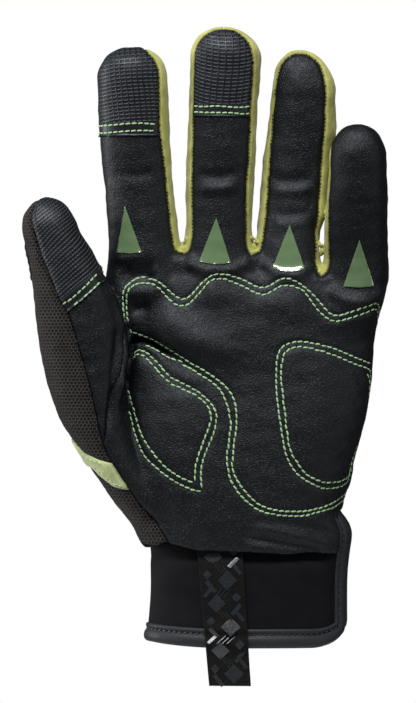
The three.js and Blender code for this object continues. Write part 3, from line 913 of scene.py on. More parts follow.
@dataclass(frozen=True)
class Stitching:
    """The light green rows on the palm, with their grooves and their stitches."""

    stitch: Stitch = Stitch()
    groove_depth: float = 0.55
    groove_half: float = 0.85
    wave_upper: Row = Row(
        front=(
            (-50.6, 133), (-51.3, 140.9), (-50.4, 149.2), (-48.2, 151.8), (-44.4, 153.3), (-40.4, 152.5),
            (-35.1, 149.2), (-30.8, 145.5), (-27.2, 143.1), (-23.8, 144.4), (-19, 149.6), (-14.2, 153.3),
            (-10.2, 153.8), (-1.9, 151.4), (4.2, 148.3), (7.9, 148.2), (14.9, 151.9), (20.3, 150.6),
            (28.2, 144), (33.5, 137.9), (37, 136.5), (43, 138.3), (51.5, 141.8), (53.8, 141.4),
        ),
        side=((55.8, -6, 138), (56, 0, 136.5), (55, 5, 136.5)),
    )
    wave_lower: Row = Row(
        front=(
            (-47.8, 129.1), (-49, 132.8), (-49.8, 139.1), (-49.6, 144.4), (-48.7, 147.9), (-46.9, 150.1),
            (-43, 151.1), (-36.9, 148.2), (-32.5, 143.5), (-29.9, 141.3), (-26.8, 140.4), (-24.2, 141.1),
            (-19, 146.1), (-16.4, 149.6), (-13.7, 151.4), (-10.2, 151.8), (-1.9, 148.6), (4.2, 145.5),
            (7.9, 145.2), (14.1, 148.8), (19.1, 148.6), (23.2, 146.5), (29.5, 138.2), (32.8, 135.5),
            (36, 134.1), (41.6, 135.5), (51.5, 139.2), (53.4, 138.8),
        ),
        side=((55.4, -6, 135.4), (55.4, 0, 134), (54.6, 5, 134)),
    )
    heart_upper: Row = Row(
        front=(
            (-47.8, 129.1), (-42.1, 126.9), (-35.1, 124.3), (-25.9, 118.6), (-15, 112.1), (-6.7, 104.6),
            (-4.3, 94.6), (-5.4, 84.2), (-6.2, 77.6), (-5.8, 71.8), (-3.3, 67.6), (0.8, 62.2), (5.4, 58.5),
            (12.5, 56.4), (22, 55.9), (31.5, 57.7), (37.4, 60.2),
        ),
        side=((40.6, -7, 62.4), (41.2, -1, 64), (41.4, 4, 65)),
    )
    heart_lower: Row = Row(
        front=(
            (-42, 125), (-38.6, 123.8), (-32.5, 120.4), (-21.6, 113.6), (-13.3, 108.1), (-9.8, 103.8),
            (-6.9, 93.8), (-7.5, 85.5), (-8.3, 76), (-6.2, 67.6), (-1.2, 61), (5, 56.4), (13.9, 54.2),
            (22, 54), (29.5, 55.6), (35.6, 57.2),
        ),
        side=((39.8, -8, 59), (40.4, -1, 60.6), (40.6, 4, 61.6)),
    )
    heel_outer: Row = Row(
        front=(
            (51, 116.7), (46.1, 118.7), (34.4, 123.3), (22.4, 125.7), (16.6, 124.8), (13.2, 122), (12, 115),
            (12, 106.7), (13.3, 94.2), (15.8, 79.7), (18.3, 74.3), (22, 70.1), (31.5, 65.2), (36.5, 65.6),
            (41.6, 67.8),
        ),
        side=((44, -10, 71.5), (46, -5, 80), (49, -4, 94), (52, -5, 106), (52.6, -9, 114.5)),
    )
    heel_inner: Row = Row(
        front=(
            (50.6, 114), (44, 116.6), (31.1, 121.6), (22.4, 123.5), (16.6, 122.4), (14.6, 118.5),
            (14.1, 110), (14.9, 101.7), (16.6, 86.3), (17.8, 80.9), (20.3, 76.4), (24.1, 71.4),
            (29.5, 68.5), (35.4, 67.8), (42, 70.8),
        ),
        side=((44.2, -12, 74.5), (46.2, -8, 84), (49.4, -7, 97), (51.6, -8, 107), (51.8, -11, 112.6)),
    )
    ball_outer_top: Row = Row(
        front=(
            (-48.2, 120.6), (-46.5, 122.1), (-44.3, 122.5), (-41.7, 121.4), (-36.9, 116.9), (-31.2, 110.7),
            (-27.3, 108.8), (-20.3, 105.1), (-14.2, 99.4), (-12.6, 94.6), (-14.1, 87.6), (-18, 78),
            (-19.1, 72.2), (-18.7, 65.6),
        )
    )
    ball_outer_foot: Row = Row(
        front=(
            (-18.9, 64.2), (-20.8, 64.4), (-25.3, 66), (-32, 69.7), (-37.8, 74.3), (-42.7, 79.7),
            (-45.7, 86.7), (-47.4, 93.2), (-48.9, 97.4),
        )
    )
    ball_inner_top: Row = Row(
        front=(
            (-48.4, 119), (-45.7, 120.6), (-42.5, 119.7), (-39.9, 117.3), (-32.5, 109.2), (-28.1, 106.8),
            (-19.4, 102.2), (-15.9, 98.4), (-15, 93.6), (-17.8, 85.5), (-21.2, 75.5), (-21.7, 68.5),
        )
    )
    ball_inner_foot: Row = Row(
        front=(
            (-22.4, 67.9), (-28.2, 70.5), (-34, 74.7), (-39.4, 81.3), (-43.2, 87.6), (-45.7, 95.4),
            (-47.8, 102), (-49.5, 105.9),
        )
    )
    tack: Row = Row(front=((-16.4, 85.2), (-13.9, 87.8)))

    @property
    def rows(self) -> dict[str, Row]:
        """Every row by its name."""
        return {name: value for name, value in vars(self).items() if isinstance(value, Row)}

    @property
    def pads(self) -> tuple[Points, ...]:
        """Outlines in X and Z of the two padded areas that the rows close."""
        heel = np.asarray(self.heel_outer.front + ((70, 70), (70, 116)))
        ball = np.asarray(self.ball_outer_top.front + self.ball_outer_foot.front)
        return heel, ball


@dataclass(frozen=True)
class Relief:
    """The pads, puffs, folds and creases of the hand's front."""

    puff: float = 1.3  # rise of the padded areas inside their rows
    puff_width: float = 4.5  # over which a puff rises beside its row
    pads: tuple[Pad, ...] = (
        Pad(-34, 98, 15, 26, 1.6),
        Pad(30, 96, 18, 24, 1.2),
        Pad(-2, 128, 30, 14, 1),
        Pad(-44, 147, 12, 7, 1.6),
        Pad(-13, 145, 12, 7, 1.6),
        Pad(16, 142, 12, 7, 1.6),
        Pad(44, 136, 12, 7, 1.8),
    )
    folds: tuple[Fold, ...] = (
        # the roll beside the thumb's seam, and the valleys on both sides of it
        Fold(((-54.4, 147), (-52.2, 136), (-50.3, 127), (-51.5, 119.9), (-53.2, 110.4), (-53.4, 96)), 1.5, 3),
        Fold(((-53.6, 136), (-53.2, 125), (-54.6, 113.5), (-56, 98.5), (-57, 88)), 1.6, -1.6),
        Fold(((-49, 130.5), (-47.9, 124), (-48.9, 116), (-50.4, 106), (-50.8, 96)), 1.5, -2.2),
        # the bulge over the middle of the palm and the deep crease below it
        Fold(((-43, 136.5), (-36, 133.8), (-27, 129.5), (-14, 123.5), (4, 119.5)), 7.5, 3.2, (0.25, 0.5)),
        Fold(
            ((-49.8, 126.4), (-45.2, 126), (-40.6, 125.2), (-36, 122.6), (-24, 115.4), (-10, 105.5)),
            2.6, -3, (0.05, 0.75),
        ),
        Fold(
            ((-49.7, 126.2), (-45.2, 126), (-41, 125.4), (-37, 123.4), (-28, 118.4)), 1.1, -2.4, (0.05, 0.6)
        ),
        Fold(
            ((-49.4, 125.2), (-43.4, 125), (-38.6, 122.8), (-35.1, 120.2), (-30, 115.4)), 1.5, 1.8, (0.1, 0.5)
        ),
        # hollows round the wave's left lobe
        Fold(((-54, 153.8), (-46, 152.8), (-37, 154.4)), 5, -3.2),
        Fold(((-49.6, 139.4), (-44.5, 140.2), (-38, 141.3)), 3.2, -2.2, (0.3, 0.5)),
        # rims under the fingers' triangles
        Fold(((-56, 161), (-48.6, 160), (-41, 162)), 2.2, 0.9),
        Fold(((-26.1, 159.5), (-19.5, 155.8), (-13, 154.8), (-7.1, 155.4), (2.5, 159)), 2.4, 1.3, (0.1, 0.1)),
        Fold(((5.5, 159.5), (11.5, 154.4), (17, 153.2), (22.5, 154.2), (28, 159)), 2.4, 1.3, (0.1, 0.1)),
        Fold(((33, 148), (40, 143.4), (47, 142.6), (52.5, 144), (57, 148)), 2.6, 1.4, (0.1, 0.1)),
        # the wrist
        Fold(((-6, 46.8), (6, 44.6), (18, 41.8), (34, 39.6)), 2.2, -1.5),
        Fold(((-2, 50), (12, 47.6), (26, 44), (38, 40.6)), 2, 1),
        Fold(((8, 52.6), (22, 50.2), (37, 46)), 2, -0.9),
        Fold(((-44, 56), (-34, 52), (-22, 50)), 3.4, -0.9),
        # bends of the fingers
        Fold(((-56, 196), (-46, 194.6), (-36, 196)), 1.8, -0.5),
        Fold(((-22, 195.5), (-12, 194.2), (-2, 195.8)), 2.6, -0.9),
        Fold(((-22, 189.6), (-12, 188.6), (-2, 190.2)), 2.4, 1.1),
        Fold(((8, 193.5), (18, 192.6), (29, 194.2)), 2.4, -0.8),
        Fold(((8, 188.6), (18, 187.8), (29, 189.4)), 2.2, 0.9),
        Fold(((10, 179), (18, 178.4), (28, 179.8)), 2, -0.5),
        Fold(((10, 174.8), (18, 174), (28, 175.4)), 2, 0.5),
        Fold(((38, 184), (46, 182.6), (54, 184)), 1.6, -0.4),
        # the thumb's ball
        Fold(((-80, 124), (-70, 118), (-60, 116)), 3, -0.7),
    )

    def height(self, places: Points, padded: Sequence[Points]) -> Points:
        """How far the front stands out of the plain form at some places in X and Z."""
        total = np.zeros(len(places))
        for pad in self.pads:
            total += pad.rise * bell(
                np.hypot((places[:, 0] - pad.x) / pad.half_width, (places[:, 1] - pad.z) / pad.half_height)
            )
        for fold in self.folds:
            total += fold.height(places)
        for outline in padded:
            closed = np.vstack([outline, outline[:1]])
            away, _ = path_distance(places, smooth_path(closed, 1.0))
            rise = self.puff * (1 - np.exp(-away / self.puff_width))
            total += np.where(inside_outline(places, outline), rise, 0.0)
        return total

    def unevenness(self, places: Points) -> Points:
        """The slight unevenness of soft material, everywhere."""
        x, y, z = places.T
        return (
            0.16 * np.sin(0.31 * x + 0.23 * z + 1.3) * np.sin(0.27 * z - 0.19 * x + 0.4 * y)
            + 0.10 * np.sin(0.62 * z + 0.35 * x + 2.1) * np.sin(0.53 * x + 0.4 * y - 0.22 * z)
            + 0.05 * np.sin(1.25 * x + 0.6 * y + 0.9) * np.sin(1.1 * z - 0.5 * x + 0.3)
        )


# The hand's shell


def repeated(name: str, shape: BMesh, frames: Points, material: Material) -> Object:
    """One piece of many copies of a small shape.

    Args:
        name: The piece's name.
        shape: The small shape about the origin, which is freed.
        frames: One 3 by 4 matrix for each copy: its three axes in columns, then its place.
        material: The piece's finish.

    Returns:
        The new piece.
    """
    shape.verts.index_update()
    verts = coords(shape)
    # painted shade of the small shape, carried to every copy
    shade_layer = shape.verts.layers.float.get("hollow")
    depth = np.array([v[shade_layer] if shade_layer else 0.0 for v in shape.verts])
    faces = [[v.index for v in face.verts] for face in shape.faces]
    shape.free()
    placed = np.einsum("nij,kj->nki", frames[:, :, :3], verts) + frames[:, None, :, 3]
    tiled = [[i + k * len(verts) for i in face] for k in range(len(frames)) for face in faces]
    mesh = bpy.data.meshes.new(name)
    mesh.from_pydata(placed.reshape(-1, 3).tolist(), [], tiled)
    hollow = mesh.attributes.new("hollow", "FLOAT", "POINT")
    hollow.data.foreach_set("value", np.tile(depth, len(frames)))
    bm = bmesh.new()
    bm.from_mesh(mesh)
    bpy.data.meshes.remove(mesh)
    return make_piece(name, bm, material)


def thread_shape() -> BMesh:
    """One stitch, a unit long along X, with ends that dip."""
    bm = bmesh.new()
    bmesh.ops.create_uvsphere(bm, u_segments=6, v_segments=6, radius=0.5)
    bmesh.ops.rotate(bm, verts=bm.verts, matrix=Matrix.Rotation(radians(90), 3, "Y"))
    for vert in bm.verts:
        full = (1 - min(abs(vert.co.x) * 2, 1) ** 4) ** 0.5
        ring = hypot(vert.co.y, vert.co.z)
        if ring > 1e-6:
            vert.co.y *= 0.5 * full / ring
            vert.co.z *= 0.5 * full / ring
        vert.co.z -= 0.35 * abs(vert.co.x) ** 3 * 8
    return bm


def sew(name: str, frames: Sequence[Points], thread: Material) -> Object:
    """A piece of many stitches, which lie where the matrices in some arrays say."""
    return repeated(name, thread_shape(), np.vstack(frames), thread)


def chains(edges: Iterable[BMEdge]) -> list[Points]:
    """The places along each run of joined edges."""
    links: dict[BMVert, list[BMVert]] = {}
    for edge in edges:
        a, b = edge.verts
        links.setdefault(a, []).append(b)
        links.setdefault(b, []).append(a)
    ends = [v for v, near in links.items() if len(near) != 2] + list(links)
    used: set[frozenset] = set()
    runs = []
    for start in ends:
        for first in links[start]:
            run = [start]
            after = first
            while after is not None and frozenset((run[-1], after)) not in used:
                used.add(frozenset((run[-1], after)))
                run.append(after)
                after = next((v for v in links[run[-1]] if frozenset((run[-1], v)) not in used), None)
                if len(links[run[-1]]) != 2:
                    break
            if len(run) > 3:
                runs.append(np.array([v.co[:] for v in run]))
    return runs


@dataclass(frozen=True)
class Cap:
    """One textured cap over a fingertip: its raw lower edge, its pressed pattern and its stitches."""

    name: str
    node: str
    panel: Panel
    stem: str  # the finger that it covers
    edge: tuple[Place, Place]
    reach: tuple[float, float, float, float]  # lowest and highest x, and lowest and highest z
    pitch: Place  # distances between two pits of a row, and between two rows
    turn: float  # degrees that the pressed pattern leans
    arch: float  # how much its rows bend
    rows: tuple[Row, ...]

    def above(self, places: Points) -> Points:
        """How far places lie above the cap's lower edge."""
        (x0, z0), (x1, z1) = self.edge
        return ((x1 - x0) * (places[:, 2] - z0) - (z1 - z0) * (places[:, 0] - x0)) / hypot(x1 - x0, z1 - z0)

    def may_cover(self, places: Points) -> Points:
        """Which places lie near the cap."""
        low_x, high_x, low_z, high_z = self.reach
        x, z = places[:, 0], places[:, 2]
        return (x > low_x) & (x < high_x) & (z > low_z) & (z < high_z)

    def print_places(self, places: Points, form: HandForm) -> Points:
        """Places on the pressed pattern, unrolled round the finger, and the height over the stitches."""
        tube: Tube = getattr(form, self.stem)
        middle_x, middle_y, half_width, half_depth = tube.oval(places[:, 2])
        across = (places[:, 0] - middle_x) / half_width
        deep = (places[:, 1] - middle_y) / half_depth
        turn = np.arctan2(across, -deep)
        ring = np.hypot(across, deep)
        u = turn * ring * np.sqrt(half_width * half_depth) * 1.12
        v = places[:, 2] + self.arch * u * u
        lean = radians(self.turn)
        along = (u * cos(lean) + v * sin(lean)) / self.pitch[0]
        up = (v * cos(lean) - u * sin(lean)) / self.pitch[1]
        return np.stack([along, up, self.above(places)], axis=1)


CAPS = (
    Cap(
        name="index_tip_cap",
        node="index_cap", panel=Panel.PALM, stem="index",
        edge=((-62, 210.5), (-33, 210.6)), reach=(-70.0, -30.0, 205.0, 260.0),
        pitch=(2.3, 1.5), turn=4.0, arch=0.002,
        rows=(
            Row(
                (
                    (-36.6, 215.1), (-39.6, 215.6), (-44.7, 215.9), (-50.5, 215.6), (-56.6, 215.1),
                    (-59.4, 215),
                ),
                ((-61.3, -7, 215), (-61.5, 4, 215)),
            ),
            Row(
                ((-36.6, 212.7), (-41.4, 212.9), (-48.1, 212.7), (-55.4, 212.2), (-59.4, 211.9)),
                ((-61.3, -7, 212.1), (-61.5, 4, 212.1)),
            ),
        ),
    ),
    Cap(
        name="middle_tip_cap",
        node="middle_cap", panel=Panel.PALM, stem="middle",
        edge=((-26, 218.5), (6, 218.3)), reach=(-30.0, 8.0, 214.0, 262.0),
        pitch=(2.8, 1.5), turn=-2.0, arch=-0.012,
        rows=(
            Row(((-22, 223.2), (-18.1, 222.7), (-13.1, 223), (-6.8, 222.5), (-1.6, 222.5), (0.9, 223))),
            Row(((-22, 220.7), (-18.7, 220.4), (-11.2, 220.2), (-6.8, 220.2), (-2.2, 219.7), (0.9, 220.1))),
        ),
    ),
    Cap(
        name="thumb_tip_cap",
        node="thumb_cap", panel=Panel.THUMB, stem="thumb",
        edge=((-73.5, 137.8), (-58.5, 150.6)), reach=(-96.0, -56.0, 130.0, 192.0),
        pitch=(1.6, 1.25), turn=32.0, arch=0.006,
        rows=(
            Row(
                (
                    (-75.8, 141.2), (-73.5, 142.3), (-70.6, 144.7), (-67.8, 147.2), (-64.9, 150.1),
                    (-62.6, 152.8),
                ),
                ((-61, -20, 154.6), (-60.6, -15, 156.6), (-60.8, -10, 158)),
            ),
            Row(
                ((-74.8, 138.7), (-71.3, 140.6), (-67.8, 143.3), (-64.2, 146.5), (-61.5, 149.4)),
                ((-59.6, -20, 151.6), (-59, -15, 153.6), (-59.2, -10, 155.2)),
            ),
        ),
    ),
)


@dataclass
class HandShell:
    """The sewn hand: its skin cut into panels, shaped, and split into pieces."""

    form: HandForm = field(default_factory=HandForm)
    hem: Hem = field(default_factory=Hem)
    stitching: Stitching = field(default_factory=Stitching)
    relief: Relief = field(default_factory=Relief)
    wall: float = 2.0
    gap: float = 0.15  # half the space between two sewn edges
    sink: float = 0.7  # how deep a sewn edge is drawn in
    sink_half: float = 0.75
    hem_sink: float = 0.7
    strip_puff: float = 0.3  # how far the strips between the fingers bulge
    mark_pitch: float = 1.5
    mark_size: tuple[float, float, float] = (1.15, 0.5, 0.6)
    mark_shift: float = 0.22  # how far off the seam a black stitch's middle lies, on the cloth
    caps: tuple[Cap, ...] = CAPS
    cap_sink: float = 0.6  # how deep the leather lies under a cap

    def __post_init__(self) -> None:
        """Works out the seams and builds the shaped skin."""
        self.bm = self.form.skin_mesh()
        plain = BVHTree.FromBMesh(self.bm)
        depths = (np.array([seen(plain, x, z)[0].y for x, z in outline]) for outline in SeamPlan.crotches)
        self.seams = SeamPlan(self.form, tuple(depths))
        self.cut_panels()
        self.panels = self.name_panels()
        self.row_paths = self.lay_rows()
        self.shape()
        self.tree = BVHTree.FromBMesh(self.bm)

    def cut_panels(self) -> None:
        """Cuts the skin along the hem, the seams and the caps' lower edges."""
        bm, seams, form = self.bm, self.seams, self.form
        cut_along(bm, self.hem.level)
        below = self.hem.level(self.centres()) < 0
        bmesh.ops.delete(bm, geom=[f for f, low in zip(bm.faces[:], below) if low], context="FACES")
        cut_along(bm, seams.behind_leather)
        cut_along(bm, seams.behind_mesh_edge)
        cut_along(
            bm,
            seams.past_thumb_seam,
            lambda p: (seams.behind_leather(p) < 1) & seams.level_with_thumb_seam(p),
        )

        def on_strips(p: Points) -> Points:
            """Which places lie on the strips near the fingertips."""
            return (seams.behind_leather(p) > -0.5) & (seams.behind_mesh_edge(p) < 0.5) & (p[:, 2] > 190)

        for tube in (form.middle, form.ring):
            cut_along(bm, seams.past_middle_of(tube), on_strips)
        for cap in self.caps:
            cut_along(bm, cap.above, where=lambda p: (seams.behind_leather(p) < 0.5) & cap.may_cover(p))
        bm.faces.ensure_lookup_table()
        bm.verts.ensure_lookup_table()

    def centres(self) -> Points:
        """Every face's middle."""
        return np.array([face.calc_center_median()[:] for face in self.bm.faces])

    def name_panels(self) -> dict[Panel, list[int]]:
        """Which faces each panel has."""
        middles = self.centres()
        form, seams = self.form, self.seams
        front = seams.behind_leather(middles) < 0
        back = ~front & (seams.behind_mesh_edge(middles) >= 0)
        x, z = middles[:, 0], middles[:, 2]
        strip = ~front & ~back & (z > 140) & (x > form.index.oval(z)[0] - 4)
        back |= ~front & ~strip
        thumb = front & (seams.past_thumb_seam(middles) < 0) & seams.level_with_thumb_seam(middles)
        past_middle, past_ring = (x > tube.oval(z)[0] for tube in (form.middle, form.ring))
        masks = {
            Panel.PALM: front & ~thumb,
            Panel.THUMB: thumb,
            Panel.BACK: back,
            Panel.STRIP_INDEX_MIDDLE: strip & ~past_middle,
            Panel.STRIP_MIDDLE_RING: strip & past_middle & ~past_ring,
            Panel.STRIP_RING_LITTLE: strip & past_ring,
        }
        self.bm.faces.index_update()
        self.strip_numbers = {i for i, panel in enumerate(Panel) if panel.value.startswith("side")}
        self.panel_of = np.zeros(len(middles), int)
        for number, (panel, mask) in enumerate(masks.items()):
            self.panel_of[mask] = number
        return {panel: np.flatnonzero(mask).tolist() for panel, mask in masks.items()}

    def seam_edges(self) -> tuple[list[BMEdge], list[BMEdge]]:
        """The edges between two panels, and those of the hem."""
        sewn, open_edges = [], []
        for edge in self.bm.edges:
            sides = edge.link_faces
            if len(sides) == 1:
                open_edges.append(edge)
            elif len(sides) == 2:
                pair = {self.panel_of[face.index] for face in sides}
                if len(pair) == 2 and not pair <= self.strip_numbers:
                    sewn.append(edge)
        return sewn, open_edges

    def lay_rows(self) -> dict[str, Points]:
        """Each stitch row's path on the plain skin."""
        tree = BVHTree.FromBMesh(self.bm)
        return {name: row.path(tree) for name, row in self.stitching.rows.items()}

    def shape(self) -> None:
        """Pushes the skin out into pads and folds, and draws it in along its seams and rows. It also stores
        painted shade along the seams and rows.
        """
        plain = coords(self.bm)
        _, normal = self.form.distance(plain)
        front = soft_step(-normal[:, 1] * 1.5)
        lift = self.relief.height(plain[:, [0, 2]], self.stitching.pads) * front
        lift *= soft_step((plain[:, 2] - self.hem.back) / 6 + 0.4)
        lift += self.relief.unevenness(plain) + self.hem.flare(plain)
        for cap in self.caps:
            under = (self.seams.behind_leather(plain) < 0) & cap.may_cover(plain)
            if cap.panel is Panel.THUMB:
                under &= self.seams.past_thumb_seam(plain) < 0
            lift -= np.where(under, self.cap_sink * soft_step(cap.above(plain) / 0.8 + 0.2), 0.0)
        sewn, open_edges = self.seam_edges()
        along = [e.verts[0].co[:] for e in sewn] + [((e.verts[0].co + e.verts[1].co) / 2)[:] for e in sewn]
        seam_distance = nearness(plain, np.array(along))
        hem_distance = nearness(plain, np.array([e.verts[0].co[:] for e in open_edges]))
        row_distance = nearness(plain, np.vstack(list(self.row_paths.values())))
        on_strip = [self.panel_of[face.index] in self.strip_numbers for face in self.bm.faces]
        cloth = np.array([all(on_strip[face.index] for face in v.link_faces) for v in self.bm.verts])
        lift -= self.sink * bell(seam_distance / np.where(cloth, self.sink_half * 0.55, self.sink_half))
        beside = 0.25 * bell((seam_distance - 2.2) / 1.2)
        lift += np.where(cloth, self.strip_puff * soft_step(seam_distance / 1.2), beside)
        lift -= self.hem_sink * bell(hem_distance / 0.8)
        lift -= self.stitching.groove_depth * bell(row_distance / self.stitching.groove_half)
        put_coords(self.bm, plain + lift[:, None] * normal)
        # Painted shade: how much the finishes darken each vertex, highest along seams and stitch rows.
        shade_layer = self.bm.verts.layers.float.new("hollow")
        hollow = np.maximum(bell(seam_distance), 0.6 * bell(row_distance / 0.8))
        for vert, value in zip(self.bm.verts, hollow):
            vert[shade_layer] = value
        self.bm.normal_update()

    def panel_mesh(self, panel: Panel) -> BMesh:
        """One panel's outer face, with its sewn edges drawn a little apart from its neighbours'."""
        part = copy_part(self.bm, self.panels[panel])
        moves = []
        for vert in (v for v in part.verts if v.is_boundary):
            inner = [e.other_vert(vert).co for e in vert.link_edges if not e.is_boundary]
            if inner:
                towards = sum(inner, Vector()) / len(inner) - vert.co
                moves.append((vert, towards.normalized() * min(self.gap, towards.length / 3)))
        for vert, move in moves:
            vert.co += move
        return part

    def build(self, finishes: dict[Panel, Material]) -> None:
        """Makes every panel's piece, with its wall inwards from its outer face."""
        slots = {Panel.PALM: "palm_leather", Panel.THUMB: "palm_leather", Panel.BACK: "back_mesh"}
        for panel in Panel:
            mesh, slot = self.panel_mesh(panel), slots.get(panel, "side_strip")
            piece = make_piece(panel.value + "_panel", mesh, finishes[panel], panel.value)
            wall = piece.modifiers.new("wall", "SOLIDIFY")
            wall.thickness = self.wall * MM
            wall.offset = -1.0

    def sew(self, thread: Material) -> Object:
        """Makes the stitches of every row on the palm."""
        frames = [self.stitching.stitch.frames(self.tree, path) for path in self.row_paths.values()]
        return sew("palm_stitches", frames, thread)

    def mark_seams(self, thread: Material) -> Object:
        """Makes the black stitches that bite into the green strips' edges."""
        palm = list(Panel).index(Panel.PALM)
        edges, frames = [], []
        for edge in self.seam_edges()[0]:
            pair = {self.panel_of[face.index] for face in edge.link_faces}
            if palm in pair and pair - {palm} <= self.strip_numbers:
                edges.append(edge)
        for run in chains(edges):
            path = smooth_path(run, self.mark_pitch)
            for i, point in enumerate(path[:-1]):
                place, normal, _, _ = self.tree.find_nearest(Vector(point))
                across = normal.cross(Vector(path[i + 1] - point)).normalized()
                beside = self.tree.find_nearest(place + across * 0.9)[2]
                towards_cloth = -across if self.panel_of[beside] == palm else across
                spot = place + towards_cloth * self.mark_shift + normal * 0.05
                frames.append(frame_of(spot, across, normal, self.mark_size))
        return sew("seam_stitches", [np.array(frames)], thread)


# What is sewn or pressed onto the hand


@dataclass(frozen=True)
class Pleats:
    """The small puckers of green cloth at the bottom of each crotch, with painted shade on each pucker's
    lower rim.
    """

    lobes: tuple[tuple[float, float, float, float, float], ...] = (
        # x and height of the middle, length, width, and turn from level in degrees
        (-24.9, 168, 4.2, 2.6, 62), (-27.6, 164.4, 4.4, 2.3, -24), (-25.4, 164.4, 4.4, 2.6, 32),
        (1.3, 168.8, 3.8, 2.8, -28), (2.5, 164.6, 5.2, 3.6, 62), (4.8, 167, 5, 2.2, -46),
        (30.6, 165.9, 4, 1.9, -48), (30.9, 163.3, 4.6, 2.1, 78), (31.2, 156.4, 3.8, 2.2, -52),
        (30.2, 154.8, 3, 2, -44),
    )
    depth: float = 2.6
    behind: float = -5.5  # y of a lobe that hangs in a gap

    def build(self, tree: BVHTree, cloth: Material) -> None:
        """Makes the puckers, half sunk in the strips.

        Args:
            tree: The hand's skin.
            cloth: The strips' finish.
        """
        bm = bmesh.new()
        shade_layer = bm.verts.layers.float.new("hollow")
        for x, z, length, width, turn in self.lobes:
            hit = seen(tree, x, z)[0]
            y = min(hit.y, self.behind) if hit else self.behind
            made = bmesh.ops.create_uvsphere(bm, u_segments=20, v_segments=12, radius=0.5)["verts"]
            bmesh.ops.scale(bm, vec=(length, self.depth, width), verts=made)
            for vert in made:
                along = 2 * vert.co.x / length
                # Painted shade: each lobe's lower rim is darkened in colour as a crease.
                vert[shade_layer] = min(1.0, max(0.0, -3.2 * vert.co.z / width - 0.35))
                vert.co.z += 0.22 * width * (along * along - 0.5) + 0.08 * width * sin(5 * along)
                vert.co.y -= 0.12 * self.depth * cos(4 * along)
            lean = Matrix.Rotation(radians(-turn), 4, "Y")
            placed = Matrix.Translation((x, y + 0.45 * self.depth, z)) @ lean
            bmesh.ops.transform(bm, matrix=placed, verts=made)
        make_piece("strip_puckers", bm, cloth)


@dataclass(frozen=True)
class TipCaps:
    """The textured leather caps over the index, middle and thumb tips."""

    rim: float = 0.95  # height of the raw edge over the leather
    stitch: Stitch = Stitch(pitch=2.6, length=2.2, width=0.72, slant=4.0)

    def build(self, shell: HandShell, leather: Material, thread: Material) -> None:
        """Makes the caps and their stitches.

        Args:
            shell: The hand that the caps are sewn to.
            leather: The caps' finish.
            thread: The stitches' finish.
        """
        centres = shell.centres()
        panels = list(Panel)
        stitches = []
        for cap in shell.caps:
            inside = shell.panel_of == panels.index(cap.panel)
            inside &= (cap.above(centres) > 0) & cap.may_cover(centres)
            part = copy_part(shell.bm, np.flatnonzero(inside).tolist())
            places = coords(part)
            rim = np.array([v.is_boundary for v in part.verts]) & (cap.above(places) > 0.3)
            from_seam = nearness(places, places[rim])
            marks = part.verts.layers.float_vector.new("print")
            for vert, spot in zip(part.verts, cap.print_places(places, shell.form)):
                vert[marks] = spot
            clad(part, 0.08, 0.3 + (self.rim - 0.3) * soft_step(from_seam / 1.6))
            tree = BVHTree.FromBMesh(part)
            make_piece(cap.name, part, leather, cap.node)
            stitches += [self.stitch.frames(tree, row.path(tree)) for row in cap.rows]
        sew("cap_stitches", stitches, thread)


@dataclass(frozen=True)
class Triangles:
    """The glossy green triangles at the fingers' roots."""

    film: float = 0.45
    outlines: dict[str, Path] = field(
        default_factory=lambda: {
            "triangle_index": ((-53.6, 162.6), (-48.6, 162.2), (-43.6, 162.6), (-50.4, 181.8)),
            "triangle_middle": (
                (-19.8, 158.8), (-16.6, 158.1), (-13.2, 157.8), (-9.8, 157.9), (-6.9, 158.4), (-12.8, 177),
            ),
            "triangle_ring": (
                (10.4, 156), (13.6, 154.9), (17, 154.5), (20.4, 154.9), (23.6, 155.8), (17.5, 174.1),
            ),
            "triangle_little": ((39.7, 148.6), (46, 148.2), (52.3, 148.8), (46.2, 168)),
        }
    )

    def build(self, tree: BVHTree, film: Material) -> None:
        """Presses the four triangles onto the leather.

        Args:
            tree: The hand's skin.
            film: The triangles' finish.
        """
        for name, outline in self.outlines.items():
            bm = flat_sheet(outline, 1.1)
            for vert in bm.verts:
                vert.co = seen(tree, vert.co.x, vert.co.z)[0]
            bmesh.ops.smooth_vert(bm, verts=bm.verts, factor=0.5, use_axis_y=True)
            face_away(bm, 0, 1000, 100)
            clad(bm, -0.1, self.film)
            round_rim(bm, 0.16)
            make_piece(name + "_film", bm, film, name)


